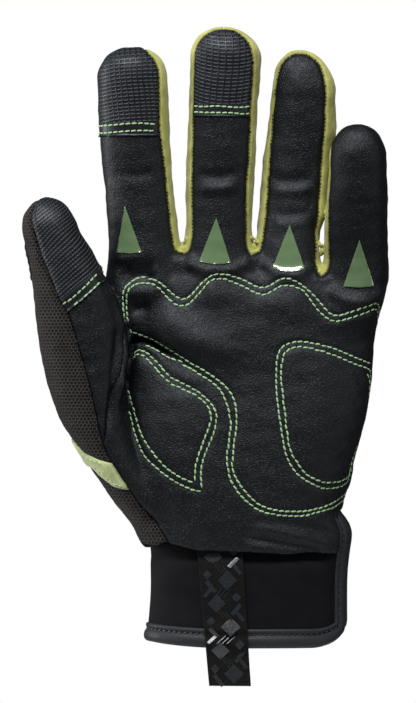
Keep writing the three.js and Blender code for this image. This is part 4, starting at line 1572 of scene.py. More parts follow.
@dataclass(frozen=True)
class BackBand:
    """The pale strip over the mesh, from the thumb's seam round the back of the hand."""

    height: float = 1.0
    upper: Path = ((-110, 112), (-71.8, 85.1), (-66.4, 79.7), (-61, 77.2), (-56, 75.9), (-46, 74), (70, 74))
    lower: Path = (
        (-110, 92), (-63.4, 73.8), (-61, 71.2), (-57, 68), (-54.8, 66.4), (-51, 65.2), (-47.3, 64.6),
        (-40, 62.4), (70, 62),
    )

    def edge(self, line: Path, places: Points) -> Points:
        """How far places lie above one of the band's edges."""
        return places[:, 2] - np.interp(places[:, 0], *zip(*line))

    def build(self, shell: HandShell, cloth: Material, thread: Material) -> None:
        """Makes the band and its two rows of stitches.

        Args:
            shell: The hand that the band is sewn to.
            cloth: The band's finish.
            thread: The stitches' finish.
        """
        part = copy_part(shell.bm, shell.panels[Panel.BACK])
        near = [f for f in part.faces if not 55 < f.calc_center_median().z < 112]
        bmesh.ops.delete(part, geom=near, context="FACES")
        for line in (self.upper, self.lower):
            cut_along(part, lambda p: self.edge(line, p))
        middles = np.array([face.calc_center_median()[:] for face in part.faces])
        outside = (self.edge(self.upper, middles) > 0) | (self.edge(self.lower, middles) < 0)
        bmesh.ops.delete(part, geom=[f for f, out in zip(part.faces[:], outside) if out], context="FACES")
        places = coords(part)
        border = np.minimum(-self.edge(self.upper, places), self.edge(self.lower, places))
        clad(part, 0.05, 0.35 + (self.height - 0.35) * soft_step((border + 0.4) / 1.4))
        tree = BVHTree.FromBMesh(part)
        make_piece("band_over_back", part, cloth, "back_band")
        stitch = Stitch(pitch=2.3, length=1.7, width=0.5, slant=4.0, lift=0.05)
        frames = []
        for line, inward in ((self.upper, -1.2), (self.lower, 1.0)):
            front = tuple((x, z + inward) for x, z in line if -75 < x < -49)
            frames.append(stitch.frames(tree, Row(front).path(tree)))
        sew("band_stitches", frames, thread)


@dataclass(frozen=True)
class ThumbGuard:
    """The moulded block on the back of the thumb."""

    angles: tuple[float, float] = (100.0, 176.0)
    heights: tuple[float, float] = (150.9, 166.0)
    thickness: float = 1.3
    ribs: int = 5

    def build(self, thumb: Tube, rubber: Material) -> None:
        """Makes the block with its ribs.

        Args:
            thumb: The stem that it lies on.
            rubber: Its finish.
        """

        def place(u: Points, v: Points) -> Points:
            """A place on the block's face."""
            angle = np.radians(self.angles[0] + (self.angles[1] - self.angles[0]) * u)
            z = self.heights[0] + (self.heights[1] - self.heights[0]) * v
            border = np.minimum(np.minimum(u, 1 - u) / 0.14, np.minimum(v / 0.05, (1 - v) / 0.3))
            rise = self.thickness * (0.35 + 0.65 * soft_step(border) ** 0.5)
            rise = rise - 0.3 * (0.5 + 0.5 * np.cos(v * self.ribs * 2 * pi)) * soft_step(border)
            low_skin, skin = thumb.skin(angle, z, -0.6), thumb.skin(angle, z)
            return skin + (skin - low_skin) / 0.6 * rise[:, None]

        bm = mapped_grid(22, 40, place)
        face_away(bm, -78, -17, 163)
        clad(bm, -self.thickness, 0.0)
        round_rim(bm, 0.2)
        make_piece("thumb_block", bm, rubber, "thumb_guard")


# The cuff and what is sewn to it


@dataclass(frozen=True)
class Wrist:
    """The cuff, the binding round its rim and its slit, the pull tab and the closing strap."""

    cuff: Tube = Tube(
        rows=(
            (-18, -41.8, 41.6, -20.6, 20.6), (0, -41.6, 41.4, -20.4, 20.4), (18, -40.4, 41.4, -20, 20),
            (33, -40.2, 40, -19.2, 19.2), (38, -39.8, 34.8, -17.4, 17.4), (48, -40.6, 34.6, -18, 17.8),
        )
    )
    bound: Tube = Tube(
        rows=(
            (-18, -41.8, 41.6, -20.6, 20.6), (0, -41.6, 40.4, -20.4, 20.4), (18, -40.4, 40.1, -20, 20),
            (30, -40.2, 40.3, -20.2, 20), (38, -40.4, 41.1, -20.8, 20.4), (46, -41, 42.1, -21.4, 20.8),
            (50, -41.4, 41.2, -21.6, 20.8), (53, -41.8, 39.4, -21.4, 20.6), (56, -42, 37.2, -20.6, 20),
            (60, -42.4, 36, -20, 19.6),
        )
    )
    wall: float = 2.4
    head: float = 46.0
    slit_head: float = 57.5
    slit: tuple[float, float] = (0.0, 349.4)  # angles of the slit's back and front edges
    rim: float = 0.6
    rim_rise: float = 2.4  # how much the rim climbs on the thumb's side
    corner_start: float = 27.5  # x where the rim begins to climb to the slit
    corner_rise: float = 9.5
    corner: float = 3.0  # radius of both corners on the unrolled cuff
    profile: Path = (
        # inwards from the edge, and out of the cuff's face
        (7, 0.1), (6.8, 0.7), (6, 0.95), (5.3, 0.8), (4.9, 0.3), (4.4, 0.25), (4, 0.75), (3, 1.3),
        (1.6, 1.55), (0.2, 1.3), (-0.8, 0.4), (-1.1, -1.2), (-0.7, -2.7), (0.3, -3.3), (2.5, -3.4),
        (5, -3.3), (5.5, -2.9), (5.4, -2.45), (3, -2.4), (0.3, -2.35), (0.1, -1.2), (0.3, -0.05), (3, 0),
        (6.8, -0.05),
    )
    tab_left: tuple[float, float] = (-15.8, -20.9)  # x at the tab's foot and at its head
    tab_right: tuple[float, float] = (1.4, -2.1)
    tab_heights: tuple[float, float] = (-15.8, 42.0)
    tab_lift: Path = (
        (-18, 0.4), (-4, 0.9), (-0.5, 1.7), (2.4, 2.1), (4.8, 1), (7.4, 1.5), (11, 0.5), (60, 0.4),
    )
    tab_thickness: float = 1.4
    strap: Path = ((-18, 10), (30, 10), (30, 34), (-18, 34), (-26, 31), (-30, 22), (-26, 13))

    def rim_height(self, angle: Points) -> Points:
        """Height of the rim at some angles round the wrist, with its round corner beside the slit."""
        x = self.cuff.skin(angle, np.full_like(angle, 4.0))[:, 0]
        share = np.clip((x - self.corner_start) / (41.6 - self.corner_start), 0, 0.995)
        corner = self.corner_rise * (1 - np.sqrt(1 - share * share))
        return self.rim + self.rim_rise * np.maximum(-np.cos(angle), 0) ** 2 + corner

    def skin(self, angle: Points, z: Points, proud: Points | float) -> Points:
        """Places on the cuff's face, which stands off beside the slit above the hem."""
        near_slit = soft_step((np.cos(angle) - 0.72) / 0.2)[:, None]
        close, loose = (stem.skin(angle, z, proud) for stem in (self.cuff, self.bound))
        return (1 - near_slit) * close + near_slit * loose

    def girth(self) -> tuple[Points, Points]:
        """Angles round the wrist from the slit's back edge to its front edge, and the length up to each."""
        angle = np.radians(np.linspace(*self.slit, 361))
        ring = self.cuff.skin(angle, np.full(361, 10.0))
        return angle, run_length(ring)

    def build_cuff(self, neoprene: Material) -> None:
        """Makes the neoprene cuff."""

        def place(u: Points, v: Points) -> Points:
            """A place on the cuff's face."""
            angle = np.radians(self.slit[0] + (self.slit[1] - self.slit[0]) * u)
            foot = self.rim_height(angle) + 0.4
            z = foot + (self.head - foot) * v
            wave = 0.22 * np.sin(3 * angle + 0.08 * z) + 0.15 * np.sin(5 * angle - 0.21 * z + 1.0)
            return self.skin(angle, z, wave * soft_step(v * 4))

        bm = mapped_grid(180, 36, place)
        face_away(bm, 0, 0, 20)
        clad(bm, -self.wall, 0.0)
        make_piece("wrist_cuff", bm, neoprene, "cuff")

    def binding_path(self) -> tuple[Points, Points]:
        """The bound edge in length round the wrist and height over the rim, and its inward direction."""
        total = self.girth()[1][-1]
        r, top = self.corner, self.slit_head
        quarter = np.linspace(0, pi / 2, 14)
        corner = np.stack([r - r * np.cos(quarter), r - r * np.sin(quarter)], axis=1)
        down = np.stack([np.zeros(40), np.linspace(top, r, 40)], axis=1)[:-1]
        along = np.stack([np.linspace(r, total - r, 220), np.zeros(220)], axis=1)[1:-1]
        half = np.vstack([down, corner])
        path = np.vstack([half, along, half[::-1] * (-1, 1) + (total, 0)])
        slope = np.gradient(path, axis=0)
        slope /= lengths(slope)[:, None]
        return path, np.stack([-slope[:, 1], slope[:, 0]], axis=1)

    def build_binding(self, tape: Material, thread: Material) -> None:
        """Makes the binding, folded over the cuff's edge, and its row of stitches."""
        path, inward = self.binding_path()
        angles, runs = self.girth()
        total = runs[-1]
        loop = np.vstack([self.profile, self.profile[:1]])

        def on_cuff(step: Points, reach: Points, proud: Points) -> Points:
            """A place at a sample of the path, some way inwards and out of the cuff's face."""
            numbers = np.arange(len(path))
            columns = (*path.T, *inward.T)
            along, up, turn_along, turn_up = (np.interp(step, numbers, column) for column in columns)
            along = along + reach * turn_along
            up = up + reach * turn_up
            inner = np.maximum(reach, 0)
            length = np.where(reach > 0, np.clip(along, inner, total - inner), along)
            angle = np.interp(length, runs, angles)
            angle += np.minimum(length, 0) / 40 + np.maximum(length - total, 0) / 40
            height = np.where(reach > 0, np.maximum(up, inner), up)
            height += self.rim_height(angle) * (1 - soft_step(height / 30))
            return self.bound.skin(angle, height, proud)

        def place(u: Points, v: Points) -> Points:
            """A place on the folded tape."""
            reach, proud = (np.interp(v * (len(loop) - 1), np.arange(len(loop)), side) for side in loop.T)
            return on_cuff(u * (len(path) - 1), reach, proud)

        bm = mapped_grid(len(path) - 1, len(loop) - 1, place)
        bmesh.ops.holes_fill(bm, edges=[e for e in bm.edges if e.is_boundary], sides=0)
        bmesh.ops.recalc_face_normals(bm, faces=bm.faces[:])
        make_piece("rim_binding", bm, tape, "cuff_binding")
        steps = np.linspace(0, len(path) - 1, 700)
        marks = smooth_path(on_cuff(steps, np.full(700, 4.65), np.full(700, 0.5)), 2.4)
        frames = []
        for before, spot, after in zip(marks[:-2], marks[1:-1], marks[2:]):
            out = Vector((spot[0] / 42, spot[1] / 21, 0)).normalized()
            frames.append(frame_of(Vector(spot), Vector(after - before), out, (1.95, 0.62, 0.5)))
        sew("binding_stitches", [np.array(frames)], thread)

    def tab_place(self, u: Points, v: Points) -> tuple[Points, Points]:
        """x and z at a share of the tab's width and of its length from the foot."""
        sides = (self.tab_heights, self.tab_left, self.tab_right)
        z, left, right = (side[0] + (side[1] - side[0]) * v for side in sides)
        return left + (right - left) * u, z

    def tab_spot(self, u: Points, v: Points) -> Points:
        """A place on the tab's front face, from its foot to its head."""
        x, z = self.tab_place(u, v)
        lift = read(self.tab_lift, z)[0] + self.tab_thickness
        selvedge = 0.14 * bell((np.minimum(u, 1 - u) - 0.075) / 0.02)
        curl = 1.2 * soft_step(1 - v * 6) * (u - 0.4)
        return np.stack([x, self.cuff.face(x, z) - lift + selvedge - curl, z], axis=1)

    def build_tab(self, webbing: Material, print_film: Material) -> None:
        """Makes the pull tab with its raised print of lozenges, bars and hatching."""
        bm = mapped_grid(26, 90, self.tab_spot)
        face_away(bm, 0, 1000, 10)
        tree = BVHTree.FromBMesh(bm)
        clad(bm, -self.tab_thickness, 0.0)
        round_rim(bm, 0.25)
        make_piece("woven_tab", bm, webbing, "pull_tab")
        self.build_print(tree, print_film)

    def build_print(self, tree: BVHTree, film: Material) -> None:
        """Makes the raised print: lozenges up the middle between slanted bars, with thin hatching."""
        lozenges, bars = [], []
        length = self.tab_heights[1] - self.tab_heights[0]
        for k in range(6):
            middle = 5.0 + 9.6 * k
            if k % 2:
                lozenges += [(0.34, middle, 5.4, 5.4, 45.0), (0.8, middle + 2.6, 3.0, 3.0, 45.0)]
                bars += [(0.78, middle - 2.4, 5.6, 1.7, 50.0), (0.16, middle + 4.4, 4.4, 1.5, 50.0)]
            else:
                lozenges += [(0.62, middle, 5.8, 5.8, 45.0), (0.18, middle + 2.2, 2.8, 2.8, 45.0)]
                bars += [(0.24, middle - 2.6, 6.0, 1.8, -50.0), (0.86, middle + 4.2, 4.4, 1.5, -50.0)]
            for n in range(3):
                bars.append((0.42 + 0.09 * n, middle + 5.0 - 0.4 * n, 7.0 - n, 0.34, 50.0 if k % 2 else -50))
        for name, shapes in (("tab_lozenges", lozenges), ("tab_bars", bars)):
            frames = []
            for share, up, long, wide, turn in shapes:
                place, normal, _, _ = seen(tree, *self.tab_place(share, up / length))
                along = Vector((cos(radians(turn)), 0, sin(radians(turn))))
                if place is not None:
                    frames.append(frame_of(place, along, normal, (long, wide, 0.3)))
            repeated(name, print_shape(), np.array(frames), film)

    def build_strap(self, cloth: Material, thread: Material) -> None:
        """Makes the closing strap on the back of the wrist, with a row of stitches near its edge."""
        bm = flat_sheet(self.strap, 1.5)
        for vert in bm.verts:
            vert.co.y = self.cuff.face(vert.co.x, vert.co.z, 1.0)[0] + 2.3
        face_away(bm, 0, -1000, 20)
        clad(bm, -2.0, 0.0)
        round_rim(bm, 0.4)
        make_piece("back_strap", bm, cloth, "closing_strap")
        outline = np.asarray(self.strap, float)
        middle = outline.mean(axis=0)
        inner = middle + (outline - middle) * (0.93, 0.84)
        sides = [np.linspace(a, b, 12)[:-1] for a, b in zip(inner, np.roll(inner, -1, axis=0))]
        x, z = np.vstack(sides).T
        spots = smooth_path(np.stack([x, self.cuff.face(x, z, 1.0) + 2.35, z], axis=1), 2.8)
        size, out = (2.0, 0.5, 0.45), Vector((0, 1, 0))
        frames = [frame_of(Vector(a), Vector(b - a), out, size) for a, b in zip(spots[:-1], spots[1:])]
        sew("strap_stitches", [np.array(frames)], thread)


def print_shape() -> BMesh:
    """A flat raised tile, a unit long and wide, with a softened rim."""
    bm = bmesh.new()
    bmesh.ops.create_cube(bm, size=1.0)
    upper = [edge for edge in bm.edges if all(v.co.z > 0 for v in edge.verts)]
    bmesh.ops.bevel(bm, geom=upper, offset=0.12, segments=2, profile=0.5, affect="EDGES", material=-1)
    bmesh.ops.translate(bm, vec=(0, 0, 0.2), verts=bm.verts)
    return bm


# Finishes


def srgb(colour: Colour, share: float = 1.0) -> tuple[float, float, float, float]:
    """A shader colour from a share of a colour as it is seen, with each part from 0 to 255."""

    def linear(part: int) -> float:
        """One part of the colour in linear light."""
        seen_as = int(part * share) / 255
        return seen_as / 12.92 if seen_as <= 0.04045 else ((seen_as + 0.055) / 1.055) ** 2.4

    return *map(linear, colour), 1.0


COOL = (0.87, 0.93, 1.0, 1.0)  # tint of the highlights on black leather


class Sheet:
    """A material under construction, with short calls that add its nodes and join them."""

    def __init__(self, name: str) -> None:
        """Starts a material with one shader."""
        self.material = bpy.data.materials.new(name)
        self.material.use_nodes = True
        self.tree = self.material.node_tree
        self.shader = self.tree.nodes["Principled BSDF"]

    def node(self, kind: str, inputs: dict | None = None, **settings: object) -> Node:
        """Adds a node.

        Args:
            kind: The node's type.
            inputs: Values or sockets for its inputs, by name or number.
            settings: Its other settings.

        Returns:
            The node.
        """
        made = self.tree.nodes.new(kind)
        for key, value in settings.items():
            setattr(made, key, value)
        for key, value in (inputs or {}).items():
            self.join(made.inputs[key], value)
        return made

    def join(self, socket: NodeSocket, value: object) -> None:
        """Links a socket to an input, or sets the input to a value."""
        if isinstance(value, NodeSocket):
            self.tree.links.new(value, socket)
        else:
            socket.default_value = value

    def place(self, turn: Sequence[float] = (0, 0, 0)) -> NodeSocket:
        """The piece's own coordinates in millimetres, turned."""
        source = self.node("ShaderNodeTexCoord").outputs["Object"]
        size = (1 / MM, 1 / MM, 1 / MM)
        mapping = self.node("ShaderNodeMapping", {"Vector": source, "Scale": size, "Rotation": turn})
        return mapping.outputs["Vector"]

    def sums(self, operation: str, *parts: object, clamp: bool = False) -> NodeSocket:
        """The result of one sum."""
        made = self.node("ShaderNodeMath", dict(enumerate(parts)), operation=operation, use_clamp=clamp)
        return made.outputs[0]

    def noise(self, vector: NodeSocket, scale: float, detail: float = 3.0) -> NodeSocket:
        """Soft noise from 0 to 1."""
        inputs = {"Vector": vector, "Scale": scale, "Detail": detail, "Roughness": 0.55}
        return self.node("ShaderNodeTexNoise", inputs).outputs["Fac"]

    def ramp(
        self, value: NodeSocket, low: float, high: float, start: float = 0, end: float = 1
    ) -> NodeSocket:
        """A value mapped from low and high to start and end, and held between them."""
        inputs = {"Value": value, "From Min": low, "From Max": high, "To Min": start, "To Max": end}
        return self.node("ShaderNodeMapRange", inputs, interpolation_type="SMOOTHSTEP").outputs["Result"]

    def mix(self, share: object, first: object, second: object) -> NodeSocket:
        """Two colours mixed by a share."""
        made = self.node("ShaderNodeMix", data_type="RGBA")
        for number, value in zip((0, 6, 7), (share, first, second)):
            self.join(made.inputs[number], value)
        return made.outputs[2]

    def hollow(self) -> NodeSocket:
        """How much painted shade a place gets, from 0 to 1: along seams and stitch rows, and on the puckers'
        lower rims.
        """
        return self.node("ShaderNodeAttribute", attribute_name="hollow").outputs["Fac"]

    def bump(self, *layers: tuple[NodeSocket, float]) -> NodeSocket:
        """Fine relief from several height patterns.

        Args:
            layers: Each pattern from 0 to 1, with its height in millimetres.

        Returns:
            The bent normal.
        """
        normal = None
        for height, rise in layers:
            inputs = {"Height": height, "Distance": rise * MM, "Strength": 1.0}
            if normal is not None:
                inputs["Normal"] = normal
            normal = self.node("ShaderNodeBump", inputs).outputs["Normal"]
        return normal

    def dress(self, colour: object, roughness: object, normal: object = None, **values: object) -> Material:
        """Finishes the material.

        Args:
            colour: Its colour, as a value or a socket.
            roughness: Its roughness, as a value or a socket.
            normal: Its fine relief.
            values: Constants for other inputs of the shader, with spaces as underscores.

        Returns:
            The material.
        """
        joined = {"Base Color": colour, "Roughness": roughness, "Normal": normal}
        joined.update({key.replace("_", " "): value for key, value in values.items()})
        for key, value in joined.items():
            if value is not None:
                self.join(self.shader.inputs[key], value)
        return self.material


@dataclass(frozen=True)
class LeatherFinish:
    """Fine-grained black leather, a little greyer and smoother where it is rubbed, with painted shade along
    its seams and stitch rows.
    """

    name: str
    dark: Colour = (6, 7, 9)
    light: Colour = (19, 22, 26)
    grain: float = 0.76  # size of a grain
    grain_height: float = 0.12
    rough: tuple[float, float] = (0.38, 0.54)

    def make(self) -> Material:
        """Builds the material."""
        s = Sheet(self.name)
        place = s.place()
        bent = s.node(
            "ShaderNodeVectorMath",
            {0: place, 1: s.node("ShaderNodeTexNoise", {"Vector": place, "Scale": 0.5}).outputs["Color"]},
            operation="ADD",
        ).outputs[0]
        cells = s.node(
            "ShaderNodeTexVoronoi",
            {"Vector": bent, "Scale": 1 / self.grain, "Smoothness": 0.35},
            feature="SMOOTH_F1",
        ).outputs["Distance"]
        pebble = s.ramp(cells, 0.55, 0.12)
        fine = s.noise(place, 3.2, 2.0)
        broad = s.noise(place, 0.09, 3.0)
        rubbed_and_highlit = s.sums("MULTIPLY", s.ramp(broad, 0.35, 0.7), s.ramp(pebble, 0.2, 0.9), clamp=True)
        # Painted shade: the colour darkens near seams and stitch rows as hollow rises.
        shade = s.sums("MULTIPLY", rubbed_and_highlit, s.ramp(s.hollow(), 0.1, 0.8, 1.0, 0.15))
        colour = s.mix(shade, srgb(self.dark), srgb(self.light))
        roughness = s.ramp(pebble, 0.1, 0.9, self.rough[1], self.rough[0])
        normal = s.bump((pebble, self.grain_height), (fine, 0.04), (s.noise(place, 0.45, 2.0), 0.1))
        return s.dress(colour, roughness, normal, Specular_IOR_Level=0.32, Specular_Tint=COOL)


@dataclass(frozen=True)
class PittedFinish:
    """Black leather pressed with rows of small square pits, and plain along its stitched edge. The pits are
    painted dark as shade, and the ledge below each pit is painted light as a highlight.
    """

    name: str
    dark: Colour = (4, 4, 5)
    light: Colour = (24, 27, 31)
    # painted highlight: the colour of the lit ledge below each pit
    rubbed_and_highlit: Colour = (94, 100, 108)
    half_pit: Place = (0.36, 0.27)  # as shares of the distances between two pits
    depth: float = 0.5
    plain: float = 5.6  # height over the lower edge where the pits begin

    def make(self) -> Material:
        """Builds the material from the piece's own unrolled places, counted in pits."""
        s = Sheet(self.name)
        place = s.place()
        spots = s.node("ShaderNodeAttribute", attribute_name="print").outputs["Vector"]
        u, v, above = s.node("ShaderNodeSeparateXYZ", {0: spots}).outputs

        def near(value: object, middle: float, half: float) -> NodeSocket:
            """1 where a count of pits lies within a share of each pit's middle, with soft ends."""
            away = s.sums("ABSOLUTE", s.sums("SUBTRACT", s.sums("FRACT", value), middle))
            return s.ramp(away, half + 0.09, half - 0.09)

        across = near(u, 0.5, self.half_pit[0])
        printed = s.sums("MULTIPLY", across, s.ramp(above, self.plain - 0.3, self.plain + 0.3))
        pit = s.sums("MULTIPLY", printed, near(v, 0.5, self.half_pit[1]))
        # Painted highlight: a light band along the ledge just below each pit.
        highlit_lip = s.sums("MULTIPLY", printed, near(v, 0.17, 0.06))
        fine = s.noise(place, 2.4, 3.0)
        # Painted shade: the pits are painted nearly dark.
        open_share = s.sums("SUBTRACT", 1.0, s.sums("MULTIPLY", pit, 0.9))
        shade = s.sums("MULTIPLY", s.ramp(fine, 0.3, 0.75), open_share)
        plain = s.mix(shade, srgb(self.dark), srgb(self.light))
        colour = s.mix(s.sums("MULTIPLY", highlit_lip, s.ramp(fine, 0.2, 0.6, 0.4, 1.0)), plain, srgb(self.rubbed_and_highlit))
        roughness = s.ramp(pit, 0.0, 1.0, 0.44, 0.62)
        normal = s.bump((s.sums("SUBTRACT", 1.0, pit), self.depth), (fine, 0.05))
        return s.dress(colour, roughness, normal, Specular_IOR_Level=0.4, Specular_Tint=COOL)


@dataclass(frozen=True)
class MeshFinish:
    """Dark knitted spacer mesh with a honeycomb of small holes."""

    name: str
    pitch: float = 1.55  # distance between two holes in a row
    yarn: Colour = (70, 62, 59)
    hole: Colour = (3, 2, 2)

    def holes(self, s: Sheet, u: NodeSocket, v: NodeSocket) -> NodeSocket:
        """1 in the middle of each hole of the honeycomb and 0 on the yarn."""
        height = self.pitch * 0.866
        across = s.sums("DIVIDE", u, self.pitch)
        up = s.sums("DIVIDE", v, 2 * height)
        nearest = None
        for shift in (0.0, 0.5):
            a = s.sums("SUBTRACT", s.sums("FRACT", s.sums("ADD", across, shift)), 0.5)
            b = s.sums("SUBTRACT", s.sums("FRACT", s.sums("ADD", up, shift)), 0.5)
            b = s.sums("MULTIPLY", b, 1.732)
            away = s.sums("SQRT", s.sums("ADD", s.sums("MULTIPLY", a, a), s.sums("MULTIPLY", b, b)))
            nearest = away if nearest is None else s.sums("MINIMUM", nearest, away)
        return s.ramp(nearest, 0.5, 0.3)

    def make(self) -> Material:
        """Builds the material, with the honeycomb laid on from the front and from the side."""
        s = Sheet(self.name)
        place = s.place()
        x, y, z = s.node("ShaderNodeSeparateXYZ", {0: place}).outputs
        facing = s.node("ShaderNodeNewGeometry").outputs["Normal"]
        normal = s.node("ShaderNodeSeparateXYZ", {0: facing}).outputs
        sideways = s.ramp(s.sums("ABSOLUTE", normal[0]), 0.6, 0.8)
        flat = s.sums("MULTIPLY", self.holes(s, x, z), s.sums("SUBTRACT", 1.0, sideways))
        hole = s.sums("ADD", s.sums("MULTIPLY", self.holes(s, y, z), sideways), flat)
        fibre = s.noise(place, 4.0, 3.0)
        tone = s.mix(s.ramp(fibre, 0.3, 0.7), srgb(self.yarn, 0.7), srgb(self.yarn))
        colour = s.mix(hole, tone, srgb(self.hole))
        bent = s.bump((s.sums("SUBTRACT", 1.0, hole), 0.7), (fibre, 0.08))
        return s.dress(colour, 0.8, bent, Specular_IOR_Level=0.2, Sheen_Weight=0.05, Sheen_Roughness=0.5)


@dataclass(frozen=True)
class KnitFinish:
    """Close stretch cloth or woven tape, with fine ribs in one direction, and painted shade where a piece
    carries it: along seams and on the puckers' lower rims.
    """

    name: str
    colour: Colour
    shade: Colour
    rib: float = 0.55  # distance between two ribs
    rib_height: float = 0.05
    lean: float = 0.0  # turn of the ribs, in degrees
    roughness: float = 0.8
    sheen: float = 0.3
    gloss: float = 0.25

    def make(self) -> Material:
        """Builds the material."""
        s = Sheet(self.name)
        place = s.place(turn=(0.0, radians(self.lean), 0.0))
        plain = s.place()
        ribs = s.node(
            "ShaderNodeTexWave",
            {
                "Vector": place, "Scale": 0.31416 / self.rib, "Distortion": 0.6, "Detail": 1.0,
                "Detail Scale": 2.0,
            },
            bands_direction="Z",
        ).outputs["Fac"]
        fibre = s.noise(plain, 2.6, 3.0)
        broad = s.noise(plain, 0.12, 2.0)
        tone = s.mix(s.ramp(broad, 0.3, 0.7), srgb(self.shade), srgb(self.colour))
        # Painted shade: the colour darkens to half the shade colour where hollow is high.
        dusky = s.mix(s.ramp(s.hollow(), 0.5, 1.0, 0.0, 0.7), tone, srgb(self.shade, 0.5))
        speckled = s.mix(s.ramp(fibre, 0.35, 0.75, 0.0, 0.35), dusky, srgb(self.shade))
        normal = s.bump((ribs, self.rib_height), (fibre, 0.06))
        shine = {"Specular_IOR_Level": self.gloss, "Sheen_Weight": self.sheen, "Sheen_Roughness": 0.4}
        return s.dress(speckled, self.roughness, normal, **shine)


@dataclass(frozen=True)
class ThreadFinish:
    """Twisted sewing thread."""

    name: str
    colour: Colour

    def make(self) -> Material:
        """Builds the material."""
        s = Sheet(self.name)
        place = s.place(turn=(0.4, 0.9, 0.3))
        twist = s.node("ShaderNodeTexWave", {"Vector": place, "Scale": 0.9, "Distortion": 1.5}).outputs["Fac"]
        tone = s.mix(s.noise(s.place(), 0.4), srgb(self.colour, 0.82), srgb(self.colour))
        return s.dress(tone, 0.55, s.bump((twist, 0.06)), Sheen_Weight=0.2)


@dataclass(frozen=True)
class SmoothFinish:
    """Moulded rubber or glossy transfer film, with slight waves and dust."""

    name: str
    colour: Colour
    roughness: float
    coat: float = 0.0
    gloss: float = 0.5

    def make(self) -> Material:
        """Builds the material."""
        s = Sheet(self.name)
        place = s.place()
        tone = s.mix(s.noise(place, 0.2, 2.0), srgb(self.colour, 0.88), srgb(self.colour))
        rough = s.ramp(s.noise(place, 0.8), 0.3, 0.7, self.roughness * 0.8, self.roughness * 1.2)
        normal = s.bump((s.noise(place, 0.25, 2.0), 0.1), (s.noise(place, 3.0, 2.0), 0.01))
        return s.dress(
            tone, rough, normal, Specular_IOR_Level=self.gloss, Coat_Weight=self.coat, Coat_Roughness=0.05
        )


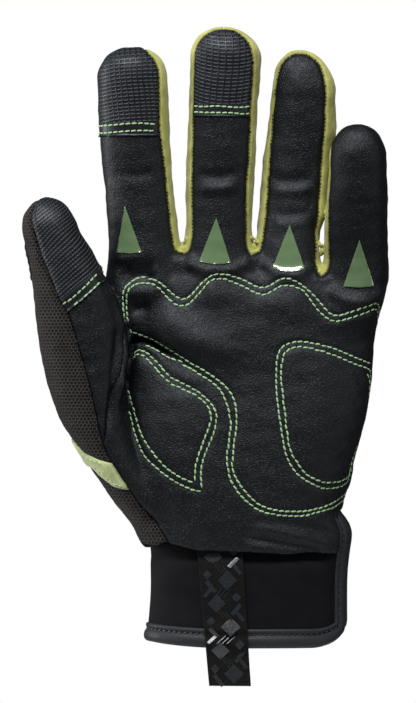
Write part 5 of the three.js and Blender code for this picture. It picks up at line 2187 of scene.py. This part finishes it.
@dataclass(frozen=True)
class Studio:
    """The camera, the soft lights, the white surround and the small pale floor."""

    eye: tuple[float, float, float] = (-16.2, -2500.0, 121.8)
    view_height: float = 291.7  # what the picture's height covers at the glove
    sensor: float = 36.0
    floor_height: float = -60.0
    floor_radius: float = 140.0

    def light(
        self, name: str, place: tuple[float, float, float], size: tuple[float, float], power: float
    ) -> None:
        """Adds a soft light that faces the glove's middle."""
        lamp = bpy.data.lights.new(name, "AREA")
        lamp.shape = "RECTANGLE"
        lamp.size, lamp.size_y = size
        lamp.energy = power
        shown = add_object(name, lamp)
        shown.location = place
        towards = Vector((-0.016, 0, 0.13)) - shown.location
        shown.rotation_euler = towards.to_track_quat("-Z", "Y").to_euler()

    def build(self) -> None:
        """Sets the whole studio up."""
        scene = bpy.context.scene
        scene.view_settings.view_transform = "Standard"
        lens = bpy.data.cameras.new("camera")
        lens.sensor_fit = "VERTICAL"
        lens.sensor_height = self.sensor
        lens.lens = self.sensor * -self.eye[1] / self.view_height
        lens.clip_start, lens.clip_end = 0.05, 20.0
        camera = add_object("camera", lens)
        camera.location = Vector(self.eye) * MM
        camera.rotation_euler = (radians(90), 0.0, 0.0)
        scene.camera = camera
        self.light("key", (-0.25, -1.0, 1.6), (1.2, 0.45), 47.0)
        self.light("fill", (1.4, -1.0, 0.3), (0.3, 1.2), 5.0)
        self.light("left", (-1.6, -0.7, 0.35), (0.5, 1.1), 6.0)
        self.light("side", (-1.6, 0.15, 0.4), (0.6, 1.2), 24.0)
        self.surround()
        self.floor()

    def surround(self) -> None:
        """Makes the world white to the camera and a soft grey to the glove."""
        world = bpy.data.worlds.new("surround")
        bpy.context.scene.world = world
        world.use_nodes = True
        nodes, links = world.node_tree.nodes, world.node_tree.links
        shown, lit = nodes["Background"], nodes.new("ShaderNodeBackground")
        for light in (shown, lit):
            light.inputs["Color"].default_value = (1.0, 1.0, 1.0, 1.0)
        lit.inputs["Strength"].default_value = 0.07
        mix, path = nodes.new("ShaderNodeMixShader"), nodes.new("ShaderNodeLightPath")
        links.new(path.outputs["Is Camera Ray"], mix.inputs[0])
        links.new(lit.outputs[0], mix.inputs[1])
        links.new(shown.outputs[0], mix.inputs[2])
        links.new(mix.outputs[0], nodes["World Output"].inputs["Surface"])

    def floor(self) -> None:
        """Adds the floor."""
        bm = bmesh.new()
        bmesh.ops.create_circle(bm, cap_ends=True, segments=96, radius=self.floor_radius * MM)
        bmesh.ops.translate(bm, vec=(0, 0, self.floor_height * MM), verts=bm.verts)
        mesh = bpy.data.meshes.new("floor")
        bm.to_mesh(mesh)
        bm.free()
        s = Sheet("floor_paper")
        tone = s.mix(s.noise(s.place(), 0.05), (0.86, 0.86, 0.86, 1.0), (0.9, 0.9, 0.9, 1.0))
        mesh.materials.append(s.dress(tone, 0.9))
        add_object("floor", mesh)


def main() -> None:
    """Builds the glove and its studio."""
    logging.basicConfig(level=logging.INFO, format="%(message)s")
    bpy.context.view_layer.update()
    leather = LeatherFinish("palm_leather").make()
    shell = HandShell()
    log.info("skin: %d vertices", len(shell.bm.verts))
    green = KnitFinish("side_strip", (180, 180, 102), (152, 152, 81), rib=0.5).make()
    mesh = MeshFinish("back_mesh").make()
    light_thread = ThreadFinish("light_thread", (172, 210, 155)).make()
    black_thread = ThreadFinish("black_thread", (9, 9, 10)).make()
    finishes = {panel: green for panel in Panel}
    finishes.update({Panel.PALM: leather, Panel.THUMB: leather, Panel.BACK: mesh})
    shell.build(finishes)
    shell.sew(light_thread)
    shell.mark_seams(black_thread)
    Pleats().build(shell.tree, green)
    TipCaps().build(shell, PittedFinish("textured_leather").make(), light_thread)
    Triangles().build(shell.tree, SmoothFinish("gloss_triangle", (99, 124, 87), 0.2, 0.8).make())
    pale_knit = KnitFinish("back_band", (186, 196, 148), (164, 176, 122), 0.6, lean=60.0).make()
    BackBand().build(shell, pale_knit, light_thread)
    ThumbGuard().build(shell.form.thumb, SmoothFinish("rubber", (18, 18, 19), 0.45).make())
    wrist = Wrist()
    wrist.build_cuff(KnitFinish("neoprene", (14, 14, 18), (9, 9, 12), 0.7, 0.02, 0.0, 0.8, 0.01, 0.1).make())
    wrist.build_binding(SmoothFinish("binding", (36, 39, 43), 0.55, gloss=0.2).make(), black_thread)
    webbing = KnitFinish("webbing", (18, 17, 15), (11, 10, 10), 0.5, 0.08, 0.0, 0.85, 0.02, 0.12).make()
    wrist.build_tab(webbing, SmoothFinish("raised_print", (35, 38, 42), 0.28).make())
    wrist.build_strap(webbing, black_thread)
    Studio().build()


if __name__ == "__main__":
    main()
